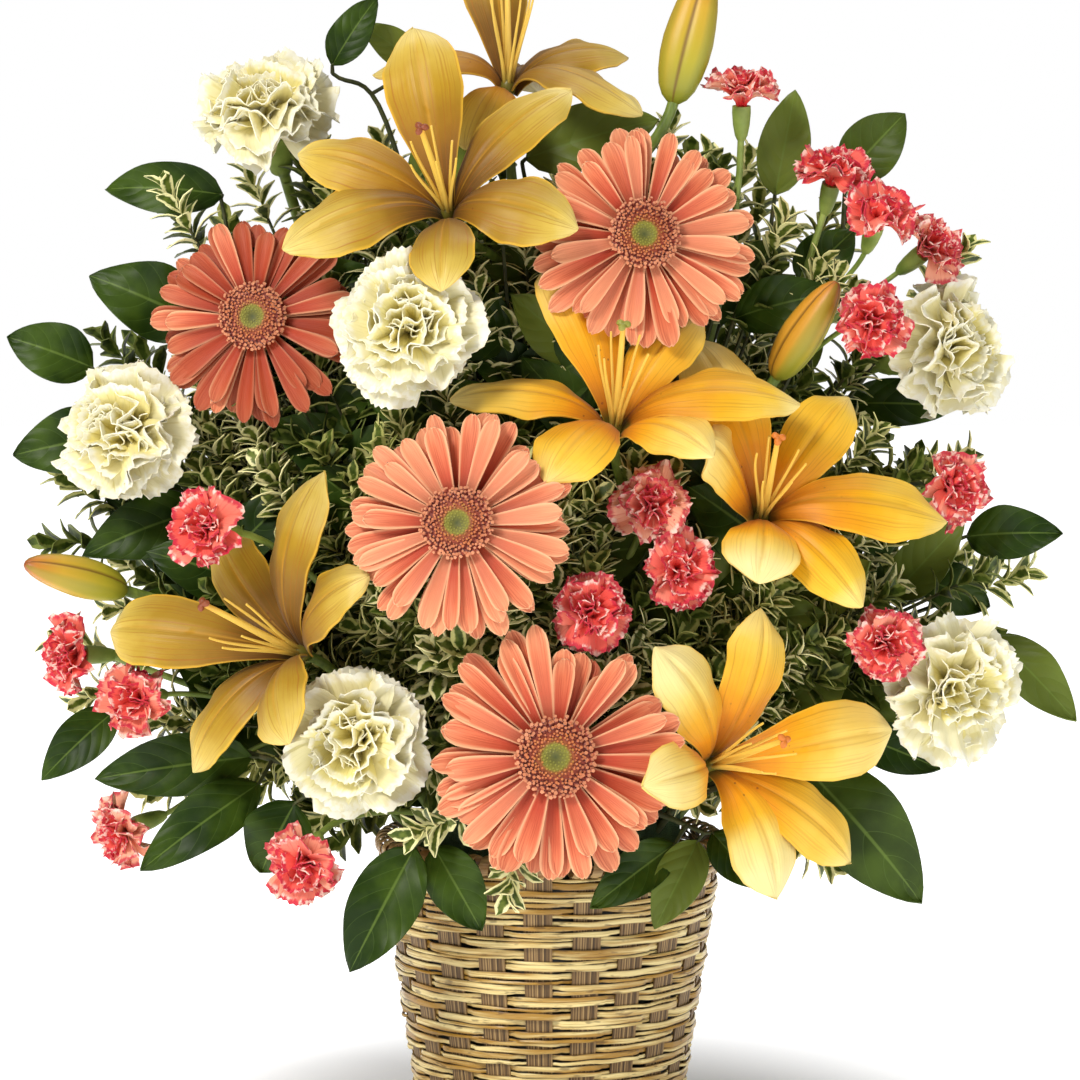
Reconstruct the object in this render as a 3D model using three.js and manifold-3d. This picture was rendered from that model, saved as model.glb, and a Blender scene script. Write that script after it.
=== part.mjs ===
// A flower basket arrangement: lilies, gerberas, carnations and cut foliage, whose stems stand in wet
// foam inside a woven basket. Millimetres, +Z up, the front towards -Y, the origin at the middle of
// the basket's foot. Every stem stands in a plain hole in the foam, and no two pieces touch.
import * as THREE from "three";
import { mergeVertices } from "three/addons/utils/BufferGeometryUtils.js";
import Module from "manifold-3d";

const wasm = await Module();
wasm.setup();

// ---- Driving dimensions ----
const GAP = 0.3; // clearance between pieces that rest on each other
const BASKET = { foot: 64, rim: 85, height: 140, wall: 5, stakes: 21, weavers: 6, base: 5, border: 6.2 };
const LINER = { wall: 1.4, top: 130, sides: 15 };
const FOAM = { radius: 68, shoulder: 158, top: 176, ease: 0.6, sides: 10 };
const GERBERA = { radius: 53, disc: 17.5, outer: 14, inner: 12, stem: 3.2, cup: 15 };
const LILY = { inner: 38, outer: 32, throat: 5, pistil: 66, filament: 54, stem: 4, stalk: 2.6 };
const CARNATION = { radius: 39, calyx: 24, cup: 8, stem: 2.8 };
const MINI = { radius: 20, calyx: 15, cup: 4.6, stem: 1.7 };
const TWIG = 1.7; // radius of a leafy stem
const PETAL = 1; // thickness of a petal
const LEAF = 1; // thickness of a leaf
const SEATED = 46; // a step of a stem: the first is straight and longer than what the foam holds

const COLOURS = {
  cane: 0xc9a96a, border: 0xa9834a, foam: 0x3f5a35, liner: 0x2b2f2b, coral: 0xe9785a, disc: 0xb98a3a,
  gold: 0xf2b23c, cream: 0xf2efcf, pink: 0xe8505a, stem: 0x5f7f34, leaf: 0x2c5220, variegated: 0x7f9a63,
};
const finish = Object.fromEntries(Object.entries(COLOURS).map(([name, color]) => [
  name, new THREE.MeshStandardMaterial({ name, color, roughness: 0.7, metalness: 0 }),
]));

const TURN = 2 * Math.PI;
const DEG = Math.PI / 180;
const vec = (x, y, z) => new THREE.Vector3(x, y, z);
const at = (values) => vec(...values);
const range = (count) => Array.from({ length: count }, (_, i) => i);

// ---- Solids: closed geometries, joined and cut ----
function solid(geometry) {
  const plain = new THREE.BufferGeometry().setAttribute("position", geometry.getAttribute("position"));
  plain.setIndex(geometry.index);
  const merged = mergeVertices(plain, 1e-4);
  return new wasm.Manifold(new wasm.Mesh({
    numProp: 3,
    vertProperties: new Float32Array(merged.attributes.position.array),
    triVerts: new Uint32Array(merged.index.array),
  }));
}

const fuse = (geometries) => wasm.Manifold.union(geometries.map(solid));

function geometryOf(body) {
  const mesh = body.getMesh();
  return new THREE.BufferGeometry()
    .setAttribute("position", new THREE.BufferAttribute(new Float32Array(mesh.vertProperties), 3))
    .setIndex(new THREE.BufferAttribute(new Uint32Array(mesh.triVerts), 1));
}

// The largest body of a solid: scraps that a cut leaves loose are dropped.
const largest = (body) => body.decompose().reduce((a, b) => (b.volume() > a.volume() ? b : a));

const arrangement = new THREE.Group();
arrangement.name = "flower_basket";
const standing = []; // the solids placed so far, with their boxes, which foliage keeps clear of

function add(name, body, material, frame = new THREE.Matrix4()) {
  const geometry = geometryOf(largest(body).simplify(0.03));
  const mesh = new THREE.Mesh(geometry, material);
  mesh.name = name;
  frame.decompose(mesh.position, mesh.quaternion, mesh.scale);
  arrangement.add(mesh);
  const whole = solid(geometry.clone().applyMatrix4(frame));
  standing.push({ whole, box: whole.boundingBox() });
}

const boxesMeet = (a, b) => [0, 1, 2].every((k) => a.min[k] <= b.max[k] && b.min[k] <= a.max[k]);

function isClear(body, others) {
  const box = body.boundingBox();
  return others.every((other) => !boxesMeet(box, other.box) || body.intersect(other.whole).isEmpty());
}

// ---- Shapes ----
// The triangles between two rows of points, which may differ in number. A closed row runs round.
function stitch(a, b, closed) {
  const [na, nb] = [a.length, b.length];
  const [ea, eb] = closed ? [na > 1 ? na : 0, nb > 1 ? nb : 0] : [na - 1, nb - 1];
  const triangles = [];
  let [i, j] = [0, 0];
  while (i < ea || j < eb) {
    const alongA = i < ea && (j === eb || (i + 0.5) / ea <= (j + 0.5) / eb);
    const [p, q] = [a[i % na], b[j % nb]];
    triangles.push(alongA ? [p, a[(i + 1) % na], q] : [p, b[(j + 1) % nb], q]);
    if (alongA) i++;
    else j++;
  }
  return triangles;
}

function numbered(rows) {
  let next = 0;
  return rows.map((row) => row.map(() => next++));
}

function surface(points, triangles) {
  const geometry = new THREE.BufferGeometry().setFromPoints(points);
  return geometry.setIndex(triangles.flat());
}

// A closed skin over rings of points, one above another. A ring of one point is a pole.
function stacked(rings) {
  const ids = numbered(rings);
  return surface(rings.flat(), ids.slice(1).flatMap((ring, r) => stitch(ids[r], ring, true)));
}

// A closed skin over rings, the last of which is joined to the first, as on a hoop.
function hoop(rings) {
  const ids = numbered(rings);
  return surface(rings.flat(), ids.flatMap((ring, r) => stitch(ring, ids[(r + 1) % ids.length], true)));
}

// A thin closed blade over rows of points from its foot to its tip. Both faces and the edge follow
// the same triangles.
function blade(rows, thickness) {
  const ids = numbered(rows);
  const points = rows.flat();
  const faces = ids.slice(1).flatMap((row, r) => stitch(ids[r], row, false));
  const sheet = surface(points, faces);
  sheet.computeVertexNormals();
  const normals = points.map((_, i) => new THREE.Vector3().fromBufferAttribute(sheet.attributes.normal, i));
  const lifted = (side) => points.map((point, i) =>
    point.clone().addScaledVector(normals[i], side * thickness / 2));
  const inner = ids.slice(1, -1);
  const edge = [...ids[0], ...inner.map((row) => row.at(-1)), ...ids.at(-1).toReversed(),
    ...inner.map((row) => row[0]).toReversed()];
  const under = points.length;
  const back = faces.map(([a, b, c]) => [a + under, c + under, b + under]);
  const wall = edge.flatMap((a, i) => {
    const b = edge[(i + 1) % edge.length];
    return [[b, a, a + under], [b, a + under, b + under]];
  });
  return surface([...lifted(1), ...lifted(-1)], [...faces, ...back, ...wall]);
}

// A rod of a few sides along a curve.
function rod(curve, radius, steps, sides) {
  const ring = new THREE.Shape(range(sides).map((i) =>
    new THREE.Vector2(radius * Math.cos(i / sides * TURN), radius * Math.sin(i / sides * TURN))));
  return new THREE.ExtrudeGeometry(ring, { steps, extrudePath: curve, bevelEnabled: false });
}

// A solid of revolution about +Z. Its profile of [radius, height] starts and ends on the axis.
function turned(profile, sides) {
  const points = profile.map(([r, z]) => new THREE.Vector2(r, z));
  return new THREE.LatheGeometry(points, sides).rotateX(Math.PI / 2);
}

// The direction a bloom faces: yaw turns it from the front towards +X, and pitch tips it up.
function facing(yaw, pitch) {
  const level = Math.cos(pitch * DEG);
  return vec(Math.sin(yaw * DEG) * level, -Math.cos(yaw * DEG) * level, Math.sin(pitch * DEG));
}

// A bloom's own frame: +Z along its axis, and +Y towards the top of the arrangement.
function frameOf(place, axis, spin = 0, size = 1) {
  const across = vec(0, 0, 1).cross(axis).normalize();
  return new THREE.Matrix4().makeBasis(across, axis.clone().cross(across), axis).setPosition(...place)
    .multiply(new THREE.Matrix4().makeRotationZ(spin)).scale(vec(size, size, size));
}

// ---- Basket ----
const wallRadius = (z) => THREE.MathUtils.lerp(BASKET.foot, BASKET.rim, z / BASKET.height);

// A ring with two points for each stake, at its edges.
function stakeRing(radiusOf, z) {
  return range(BASKET.stakes * 2).map((i) => {
    const [stake, side] = [i >> 1, i % 2 ? 0.7 : 0.3];
    const turn = (stake + side) / BASKET.stakes * TURN;
    return vec(radiusOf(stake) * Math.cos(turn), radiusOf(stake) * Math.sin(turn), z);
  });
}

function ring(radius, z, sides) {
  return range(sides).map((i) => {
    const turn = i / sides * TURN;
    return vec(radius * Math.cos(turn), radius * Math.sin(turn), z);
  });
}

// Each flat weaver passes over two stakes and under the third, and the next row shifts by one stake.
function basketWall() {
  const [low, high] = [BASKET.base + GAP, BASKET.height - BASKET.border];
  const pitch = (high - low) / BASKET.weavers;
  const rings = [];
  for (let row = 0; row < BASKET.weavers; row++) {
    const groove = low + row * pitch;
    const crest = groove + pitch / 2;
    rings.push(ring(wallRadius(groove) - 0.6, groove, BASKET.stakes));
    rings.push(stakeRing((stake) => wallRadius(crest) + ((stake + row) % 3 ? 1.8 : -0.8), crest));
  }
  rings.push(ring(wallRadius(high) - 0.6, high, BASKET.stakes));
  rings.push(ring(wallRadius(high) - BASKET.wall, high, BASKET.stakes));
  rings.push(ring(wallRadius(low) - BASKET.wall, low, BASKET.stakes));
  return hoop(rings);
}

// The border is a roll wound round the top of the wall, with a ridge for each turn of the winding.
function basketBorder() {
  const [turns, across] = [11, 4];
  const middle = wallRadius(BASKET.height) - BASKET.wall / 2;
  return hoop(range(across).map((j) => range(turns * 3).map((i) => {
    const thick = (BASKET.border - GAP) * (i % 3 ? 0.84 : 1);
    const [turn, round] = [i / (turns * 3) * TURN, (j + i / 3) / across * TURN];
    const radius = middle + thick * Math.cos(round);
    return vec(radius * Math.cos(turn), radius * Math.sin(turn), BASKET.height + thick * Math.sin(round));
  })));
}

function basketBase() {
  const rim = BASKET.foot + 1;
  return turned([[0, 0], [rim - 2, 0], [rim, 2], [rim, BASKET.base], [0, BASKET.base]], BASKET.stakes);
}

function liner() {
  const inside = (z) => wallRadius(z) - BASKET.wall - 1.6;
  const [foot, floor] = [BASKET.base + GAP, BASKET.base + GAP + LINER.wall];
  return turned([
    [0, foot], [inside(foot), foot], [inside(LINER.top), LINER.top],
    [inside(LINER.top) - LINER.wall, LINER.top], [inside(floor) - LINER.wall, floor], [0, floor],
  ], LINER.sides);
}

const holes = []; // what the foam is bored with: the foot of each stem, a little fatter

function foamBlock() {
  const foot = BASKET.base + LINER.wall + 2 * GAP;
  const low = wallRadius(foot) - BASKET.wall - LINER.wall - 3.5;
  const block = turned([
    [0, foot], [low, foot], [FOAM.radius, LINER.top], [FOAM.radius, FOAM.shoulder],
    [FOAM.radius - 14, FOAM.top], [0, FOAM.top],
  ], FOAM.sides);
  return solid(block).subtract(wasm.Manifold.union(holes));
}

// ---- Stems ----
// A stem leaves its root steeply, bends over, and meets its bloom along the bloom's axis.
function stemCurve(root, neck, axis) {
  const span = neck.distanceTo(root);
  const leave = neck.clone().sub(root).normalize().multiplyScalar(0.6).add(vec(0, 0, 0.4)).normalize();
  return new THREE.CubicBezierCurve3(root, root.clone().addScaledVector(leave, span * 0.35),
    neck.clone().addScaledVector(axis, -span * 0.3), neck);
}

const stepsOf = (curve) => THREE.MathUtils.clamp(Math.round(curve.getLength() / SEATED), 1, 5);

// A square rod that stands in the foam. Its first step is straight, so a straight hole holds it.
function footedRod(curve, radius) {
  const [steps, sides] = [stepsOf(curve), 4];
  const [foot, knee] = [curve.getPointAt(0), curve.getPointAt(1 / steps)];
  const way = knee.clone().sub(foot).normalize();
  const below = foot.clone().addScaledVector(way, -radius);
  const hole = new THREE.LineCurve3(below, knee.addScaledVector(way, 4));
  holes.push(solid(rod(hole, radius + FOAM.ease, 1, sides)));
  return rod(curve, radius, steps, sides);
}

// ---- Gerberas ----
// One whorl of ray petals: notched deep between them, each with a blunt tip.
function rayWhorl({ count, reach, notch, rise, lift }) {
  const rim = (offset) => range(count * 3).map((i) => {
    const [petal, part] = [Math.floor(i / 3), i % 3]; // the notch and the two corners of the tip
    const turn = (petal + [0, 0.26, 0.74][part]) / count * TURN;
    const r = reach * (part ? 1 - 0.06 * (petal % 2) : notch);
    const z = lift + r * Math.tan(rise * DEG) + (petal % 2) + offset;
    return vec(r * Math.cos(turn), r * Math.sin(turn), z);
  });
  return [rim(-PETAL / 2), rim(PETAL / 2)];
}

function gerberaRays() {
  const { outer, inner, radius } = GERBERA;
  const back = rayWhorl({ count: outer, reach: radius, notch: 0.4, rise: 3, lift: -3 });
  const front = rayWhorl({ count: inner, reach: radius * 0.84, notch: 0.42, rise: 11, lift: -0.6 });
  return solid(stacked([[vec(0, 0, -3.5)], ...back, ring(16, -1, 7), ...front, [vec(0, 0, 0)]]));
}

// The disc is a low dome: its florets stand up as a ring of points round a green eye.
function gerberaDisc() {
  const [foot, sides] = [4.45, 10];
  const florets = ring(GERBERA.disc * 0.85, foot + 2.4, sides);
  florets.forEach((point, i) => { point.z += (i % 2) * 1.6; });
  return solid(stacked([[vec(0, 0, foot)], ring(GERBERA.disc, foot, sides), florets,
    ring(GERBERA.disc * 0.5, foot + 1.6, sides), [vec(0, 0, foot + 3.6)]]));
}

const GERBERAS = [
  { place: [-144, -42, 404], yaw: -8, pitch: 12, size: 0.96, root: [-34, -8, 134] },
  { place: [44, -70, 444], yaw: 8, pitch: 14, size: 1, root: [10, -8, 134] },
  { place: [-43, -135, 311], yaw: -6, pitch: 14, size: 0.98, root: [-12, -26, 134] },
  { place: [2, -140, 203], yaw: 2, pitch: 4, size: 1.1, root: [3, -44, 140] },
];

GERBERAS.forEach(({ place, yaw, pitch, size, root }, i) => {
  const axis = facing(yaw, pitch);
  const frame = frameOf(place, axis, i * 0.8, size);
  add(`gerbera_${i + 1}_rays`, gerberaRays(), finish.coral, frame);
  add(`gerbera_${i + 1}_disc`, gerberaDisc(), finish.disc, frame);
  const neck = at(place).addScaledVector(axis, -GERBERA.cup * size);
  const stem = footedRod(stemCurve(at(root), neck, axis), GERBERA.stem);
  const cup = turned([[0, -18], [3.4, -18], [10, -10], [12, -3.8], [0, -3.8]], 5).applyMatrix4(frame);
  add(`gerbera_${i + 1}_stem`, fuse([cup, stem]), finish.stem);
});

// ---- Lilies ----
// Each tip is where a tepal ends, measured from the throat. The tepal rises along the bloom's axis,
// opens outwards and bends back near its tip.
function tepal(axis, tip, width, lift) {
  const forward = tip.dot(axis);
  const out = tip.clone().addScaledVector(axis, -forward);
  const reach = out.length();
  out.normalize();
  const across = axis.clone().cross(out);
  const point = (along, away) => axis.clone().multiplyScalar(along).addScaledVector(out, away);
  const length = tip.length();
  const spine = new THREE.CubicBezierCurve3(point(lift, 3), point(0.36 * length + lift, 0.18 * length),
    point(forward + 0.2 * reach, 0.74 * reach), tip);
  const rows = [0, 0.24, 0.52, 0.8, 1].map((s, k) => {
    const middle = spine.getPoint(s);
    const half = width * [0.07, 0.25, 0.5, 0.42, 0][k];
    const inward = spine.getTangent(s).cross(across).normalize().multiplyScalar(half * 0.34);
    const edge = (side) => middle.clone().addScaledVector(across, half * side).sub(inward);
    if (k === 4) return [middle];
    return k ? [edge(-1), middle, edge(1)] : [edge(-1), edge(1)];
  });
  return blade(rows, PETAL);
}

function lilyBloom(axis, tips) {
  const frame = frameOf([0, 0, 0], axis);
  const filament = (i) => {
    const foot = ring(1.8, 3, 6)[i];
    return rod(new THREE.LineCurve3(foot, ring(12, LILY.filament, 6)[i]), 0.9, 1, 3);
  };
  const upright = [
    turned([[0, -4.5], [LILY.throat, 1], [0, 9]], 5),
    ...range(6).map(filament),
    turned([[0, 5], [1.2, 7], [1.1, LILY.pistil - 5], [2.6, LILY.pistil - 2], [0, LILY.pistil]], 4),
  ].map((geometry) => geometry.applyMatrix4(frame));
  const tepals = tips.map((tip, i) =>
    (i % 2 ? tepal(axis, at(tip), LILY.outer, -3) : tepal(axis, at(tip), LILY.inner, 1)));
  return fuse([...upright, ...tepals]);
}

const LILIES = [
  { place: [-49, -62, 455], yaw: -10, pitch: 38,
    tips: [[-17, 20, 89], [59, 20, 59], [62, -32, -7], [-2, -52, -36], [-79, -12, -17], [-73, 15, 28]] },
  { place: [-21, -5, 516], yaw: 5, pitch: 68,
    tips: [[-12, 25, 78], [60, 25, 16], [66, -24, -13], [-20, -34, -30], [-67, 12, 7], [16, 70, 0]] },
  { place: [31, -80, 352], yaw: 4, pitch: 52,
    tips: [[-30, 30, 80], [40, 30, 54], [88, -4, 12], [45, -44, -10], [-33, -52, -22], [-79, 5, 14]] },
  { place: [102, -62, 308], yaw: 10, pitch: 38,
    tips: [[-33, 30, 85], [44, 27, 57], [90, 2, -2], [47, -30, -40], [-4, -48, -27], [-30, -42, 40]] },
  { place: [-119, -86, 245], yaw: -48, pitch: 22,
    tips: [[11, 1, 87], [34, -45, 42], [-3, -57, -36], [-53, 4, -58], [-94, 22, 8], [-40, 30, 56]] },
  { place: [76, -92, 192], yaw: 36, pitch: 14,
    tips: [[-27, -30, 60], [25, 9, 74], [90, 32, 12], [69, 16, -50], [32, -9, -63], [-33, -46, -6]] },
];

LILIES.forEach(({ place, yaw, pitch, tips }, i) => {
  const frame = new THREE.Matrix4().setPosition(...place);
  add(`lily_${i + 1}`, lilyBloom(facing(yaw, pitch), tips), finish.gold, frame);
});

// A closed bud, fat in the middle, from its stalk to its tip.
function bud(foot, tip) {
  const length = foot.distanceTo(tip);
  const profile = [[0, 0], [0.1, 0.03], [0.17, 0.35], [0.14, 0.75], [0.04, 0.98], [0, 1]];
  const shape = turned(profile.map(([r, z]) => [r * length, z * length]), 6);
  return shape.applyMatrix4(frameOf(foot.toArray(), tip.clone().sub(foot).normalize()));
}

// Each lily stem forks into stalks, for the blooms and the buds that it carries.
const LILY_STEMS = [
  { root: [-8, 8, 134], fork: [-14, 8, 420], blooms: [0, 1], bud: [[60, -25, 508], [77, -20, 575]] },
  { root: [24, -16, 134], fork: [58, -14, 262], blooms: [2, 3], bud: [[110, -34, 374], [139, -50, 422]] },
  { root: [-44, -20, 134], fork: [-92, -42, 206], blooms: [4], bud: [[-206, -56, 272], [-252, -84, 288]] },
  { root: [32, -38, 138], fork: null, blooms: [5] },
];

function lilyNeck(i) {
  const { place, yaw, pitch } = LILIES[i];
  const axis = facing(yaw, pitch);
  return { neck: at(place).addScaledVector(axis, -4.8), axis };
}

LILY_STEMS.forEach(({ root, fork, blooms, bud: closed }, i) => {
  const parts = [];
  if (!fork) {
    const { neck, axis } = lilyNeck(blooms[0]);
    parts.push(footedRod(stemCurve(at(root), neck, axis), LILY.stem));
  } else {
    const up = at(fork).sub(at(root)).normalize();
    parts.push(footedRod(stemCurve(at(root), at(fork), up), LILY.stem));
    for (const bloom of blooms) {
      const { neck, axis } = lilyNeck(bloom);
      const stalk = stemCurve(at(fork).addScaledVector(up, -3), neck, axis);
      parts.push(rod(stalk, LILY.stalk, 3, 4));
    }
  }
  if (closed) {
    const [foot, tip] = closed.map(at);
    const axis = tip.clone().sub(foot).normalize();
    const start = at(fork).add(vec(0, 0, -6));
    const stalk = stemCurve(start, foot.clone().addScaledVector(axis, 4), axis);
    parts.push(rod(stalk, LILY.stalk, 2, 4), bud(foot, tip));
  }
  add(`lily_stem_${i + 1}`, fuse(parts), finish.stem);
});

// ---- Carnations ----
// One whorl of petals, spread like a cone: notched between them, with a cut and waved rim.
function ruffle({ count, steps = 3, reach, tilt, lift, spin }) {
  const [flat, tall] = [Math.sin(tilt * DEG), Math.cos(tilt * DEG)];
  const rim = (side) => range(count * steps).map((i) => {
    const part = i % steps;
    const turn = (i / (count * steps) + spin) * TURN;
    const long = reach * (part ? 1 - 0.07 * (part % 2) : 0.72);
    const off = side * PETAL / 2 + reach * 0.07 * (part % 2 ? 1 : -1);
    const r = long * flat - off * tall;
    return vec(r * Math.cos(turn), r * Math.sin(turn), lift + long * tall + off * flat);
  });
  return [rim(-1), rim(1)];
}

function carnationHead() {
  const r = CARNATION.radius;
  return solid(stacked([
    [vec(0, 0, 0)],
    ...ruffle({ count: 8, reach: r, tilt: 84, lift: 1, spin: 0 }), ring(r * 0.3, r * 0.1, 6),
    ...ruffle({ count: 7, reach: r * 0.98, tilt: 62, lift: 2, spin: 0.02 }), ring(r * 0.22, r * 0.24, 5),
    ...ruffle({ count: 4, reach: r * 0.92, tilt: 40, lift: 4, spin: 0.01 }), ring(r * 0.14, r * 0.4, 3),
    ...ruffle({ count: 3, reach: r * 0.86, tilt: 16, lift: 5, spin: 0 }), [vec(0, 0, r * 0.66)],
  ]));
}

const CARNATIONS = [
  { place: [-138, 6, 494], yaw: -15, pitch: 48, root: [-28, 10, 134] },
  { place: [-200, -22, 345], yaw: -32, pitch: 14, root: [-48, 0, 134] },
  { place: [-66, -80, 397], yaw: -4, pitch: 18, root: [-20, -6, 134] },
  { place: [-88, -92, 207], yaw: -14, pitch: -4, root: [-32, -40, 138] },
  { place: [188, -36, 225], yaw: 30, pitch: -4, root: [50, -8, 136] },
  { place: [186, 14, 384], yaw: 52, pitch: 14, root: [40, 8, 134] },
];

CARNATIONS.forEach(({ place, yaw, pitch, root }, i) => {
  const axis = facing(yaw, pitch);
  const frame = frameOf(place, axis, i);
  add(`carnation_${i + 1}`, carnationHead(), finish.cream, frame);
  const { calyx, cup } = CARNATION;
  const neck = at(place).addScaledVector(axis, -calyx);
  const [low, middle] = [-calyx - 2, -calyx * 0.6];
  const green = turned([[0, low], [cup * 0.5, low], [cup, middle], [cup, -GAP], [0, -GAP]], 5);
  const stem = footedRod(stemCurve(at(root), neck, axis), CARNATION.stem);
  add(`carnation_${i + 1}_stem`, fuse([green.applyMatrix4(frame), stem]), finish.stem);
});

// ---- Spray carnations: small heads, several on a stem ----
function miniHead() {
  const { radius: r, calyx, cup } = MINI;
  return stacked([
    [vec(0, 0, -calyx - 1)], ring(cup * 0.5, -calyx, 4), ring(cup, -2, 4),
    ...ruffle({ count: 5, steps: 2, reach: r, tilt: 76, lift: 0, spin: 0 }), ring(r * 0.25, r * 0.2, 3),
    ...ruffle({ count: 3, steps: 2, reach: r * 0.95, tilt: 40, lift: 2, spin: 0.04 }),
    [vec(0, 0, r * 0.5)],
  ]);
}

const MINIS = {
  top: { root: [14, 10, 134], heads: [[[94, -16, 506], 0, 80]] },
  upper_right: { root: [28, 2, 134], fork: [112, 2, 380],
    heads: [[[138, -16, 468], 20, 62], [[158, -36, 448], 20, 50], [[184, 4, 434], 50, 34],
      [[152, -54, 403], 18, 8]] },
  right: { root: [52, 8, 136], heads: [[[192, -28, 318], 42, 12]] },
  low_right: { root: [42, -24, 136], heads: [[[160, -70, 248], 8, 2]] },
  centre: { root: [12, -32, 136], fork: [26, -46, 250],
    heads: [[[48, -76, 313], 5, 16], [[60, -80, 284], 12, 4], [[18, -112, 266], 8, 16]] },
  left: { root: [-30, -24, 136], heads: [[[-158, -98, 306], -38, 10]] },
  low_left: { root: [-56, -12, 136], fork: [-128, -28, 200],
    heads: [[[-228, -32, 238], -62, 4], [[-196, -66, 221], -32, 0], [[-203, -42, 155], -58, -14]] },
  front_left: { root: [-40, -31, 150], heads: [[[-116, -86, 148], -18, -28]] },
};

Object.entries(MINIS).forEach(([name, { root, fork, heads }]) => {
  const parts = [];
  const necks = heads.map(([place, yaw, pitch], i) => {
    const axis = facing(yaw, pitch);
    parts.push(miniHead().applyMatrix4(frameOf(place, axis, i)));
    return { neck: at(place).addScaledVector(axis, 3 - MINI.calyx), axis };
  });
  const [first, ...others] = necks;
  const main = fork ? new THREE.CatmullRomCurve3([at(root), at(fork), first.neck])
    : stemCurve(at(root), first.neck, first.axis);
  parts.push(footedRod(main, MINI.stem));
  others.forEach(({ neck, axis }, i) => {
    const start = nearestJoint([main], at(fork).add(vec(0, 0, -14 * i)));
    parts.push(rod(stemCurve(start, neck, axis), MINI.stem - 0.3, 2, 3));
  });
  add(`mini_${name}`, fuse(parts), finish.pink);
});

// ---- Foliage ----
// Twigs and leaves are placed where they show, and what would cross another piece is bent clear of
// it, forwards or backwards, by the first of these distances that does.
const BENDS = [0, 9, -9, 18, -18, 28, -28, 40, -40, 54, -54];

function bentClear(make, fatter) {
  const bend = BENDS.find((by) => isClear(solid(make(by, fatter)), standing));
  return bend === undefined ? null : bend;
}

// The rows of a broad leaf, folded a little along its rib and arched over its length. Its stalk runs
// on from the foot, as a narrow strip of the same blade, into the twig.
function broadLeaf({ joint, foot, tip, width, face }, thickness) {
  const along = tip.clone().sub(foot);
  const across = along.clone().cross(face).normalize();
  const up = across.clone().cross(along).normalize();
  const rows = [0, 0.36, 0.72, 1].map((s, k) => {
    const half = [1.3, width * 0.5, width * 0.38, 0][k];
    const arch = along.length() * 0.4 * s * (1 - s);
    const middle = foot.clone().addScaledVector(along, s).addScaledVector(up, arch);
    const edge = (side) => middle.clone().addScaledVector(across, side * half)
      .addScaledVector(up, half * 0.2);
    if (k === 3) return [middle];
    return k ? [edge(-1), middle, edge(1)] : [edge(-1), edge(1)];
  });
  if (joint.distanceTo(foot) < 2 * TWIG) return blade(rows, thickness);
  const strip = [-1, 1].map((side) => joint.clone().addScaledVector(across, side * 1.1));
  return blade([strip, ...rows], thickness);
}

// The outer part of a spray: pairs of leaflets cut to the rib in one arched blade.
function leafyTip({ foot, way, face, pairs }, thickness) {
  const across = way.clone().cross(face).normalize();
  const up = across.clone().cross(way).normalize();
  const [pitch, half] = [16, 14];
  const point = (along, side) => foot.clone().addScaledVector(way, along)
    .addScaledVector(across, side).addScaledVector(up, Math.abs(side) * 0.25 - along * along * 0.003);
  const rows = [[point(-5, -1.2), point(-5, 1.2)]];
  for (let k = 0; k < pairs; k++) {
    const reach = half * (1 - 0.4 * k / pairs);
    rows.push([point(k * pitch, -1.2), point(k * pitch, 1.2)]);
    rows.push([point((k + 0.82) * pitch, -reach), point((k + 0.82) * pitch, reach)]);
  }
  rows.push([point(pairs * pitch, -1.8), point(pairs * pitch, 1.8)], [point((pairs + 1) * pitch, 0)]);
  return blade(rows, thickness);
}

// A leafy stem: its twigs part from the top of one foot, which stands in the foam.
function twigsOf({ root, fork, twigs }, sides) {
  const trunk = new THREE.LineCurve3(at(root), at(fork));
  const start = trunk.getPointAt(0.94);
  const route = (path, by) => new THREE.CatmullRomCurve3([start, ...path.map(([x, y, z], i) =>
    vec(x, i < path.length - 1 ? y + by : y, z))]);
  const curves = twigs.flatMap((path) => {
    const make = (by, radius) => rod(route(path, by), radius, stepsOf(route(path, by)), sides);
    const bend = bentClear(make, TWIG + 0.4);
    return bend === null ? [] : [route(path, bend)];
  });
  const rods = curves.map((curve) => rod(curve, TWIG, stepsOf(curve), sides));
  return { curves, parts: [footedRod(trunk, TWIG + 0.6), ...rods] };
}

// The nearest point to a place on the straight steps of the twigs.
function nearestJoint(curves, place) {
  const spots = curves.flatMap((curve) => {
    const [steps, knees] = [stepsOf(curve), curve.getSpacedPoints(stepsOf(curve))];
    return range(steps).map((i) =>
      new THREE.Line3(knees[i], knees[i + 1]).closestPointToPoint(place, true, new THREE.Vector3()));
  });
  return spots.reduce((a, b) => (b.distanceTo(place) < a.distanceTo(place) ? b : a));
}

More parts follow.
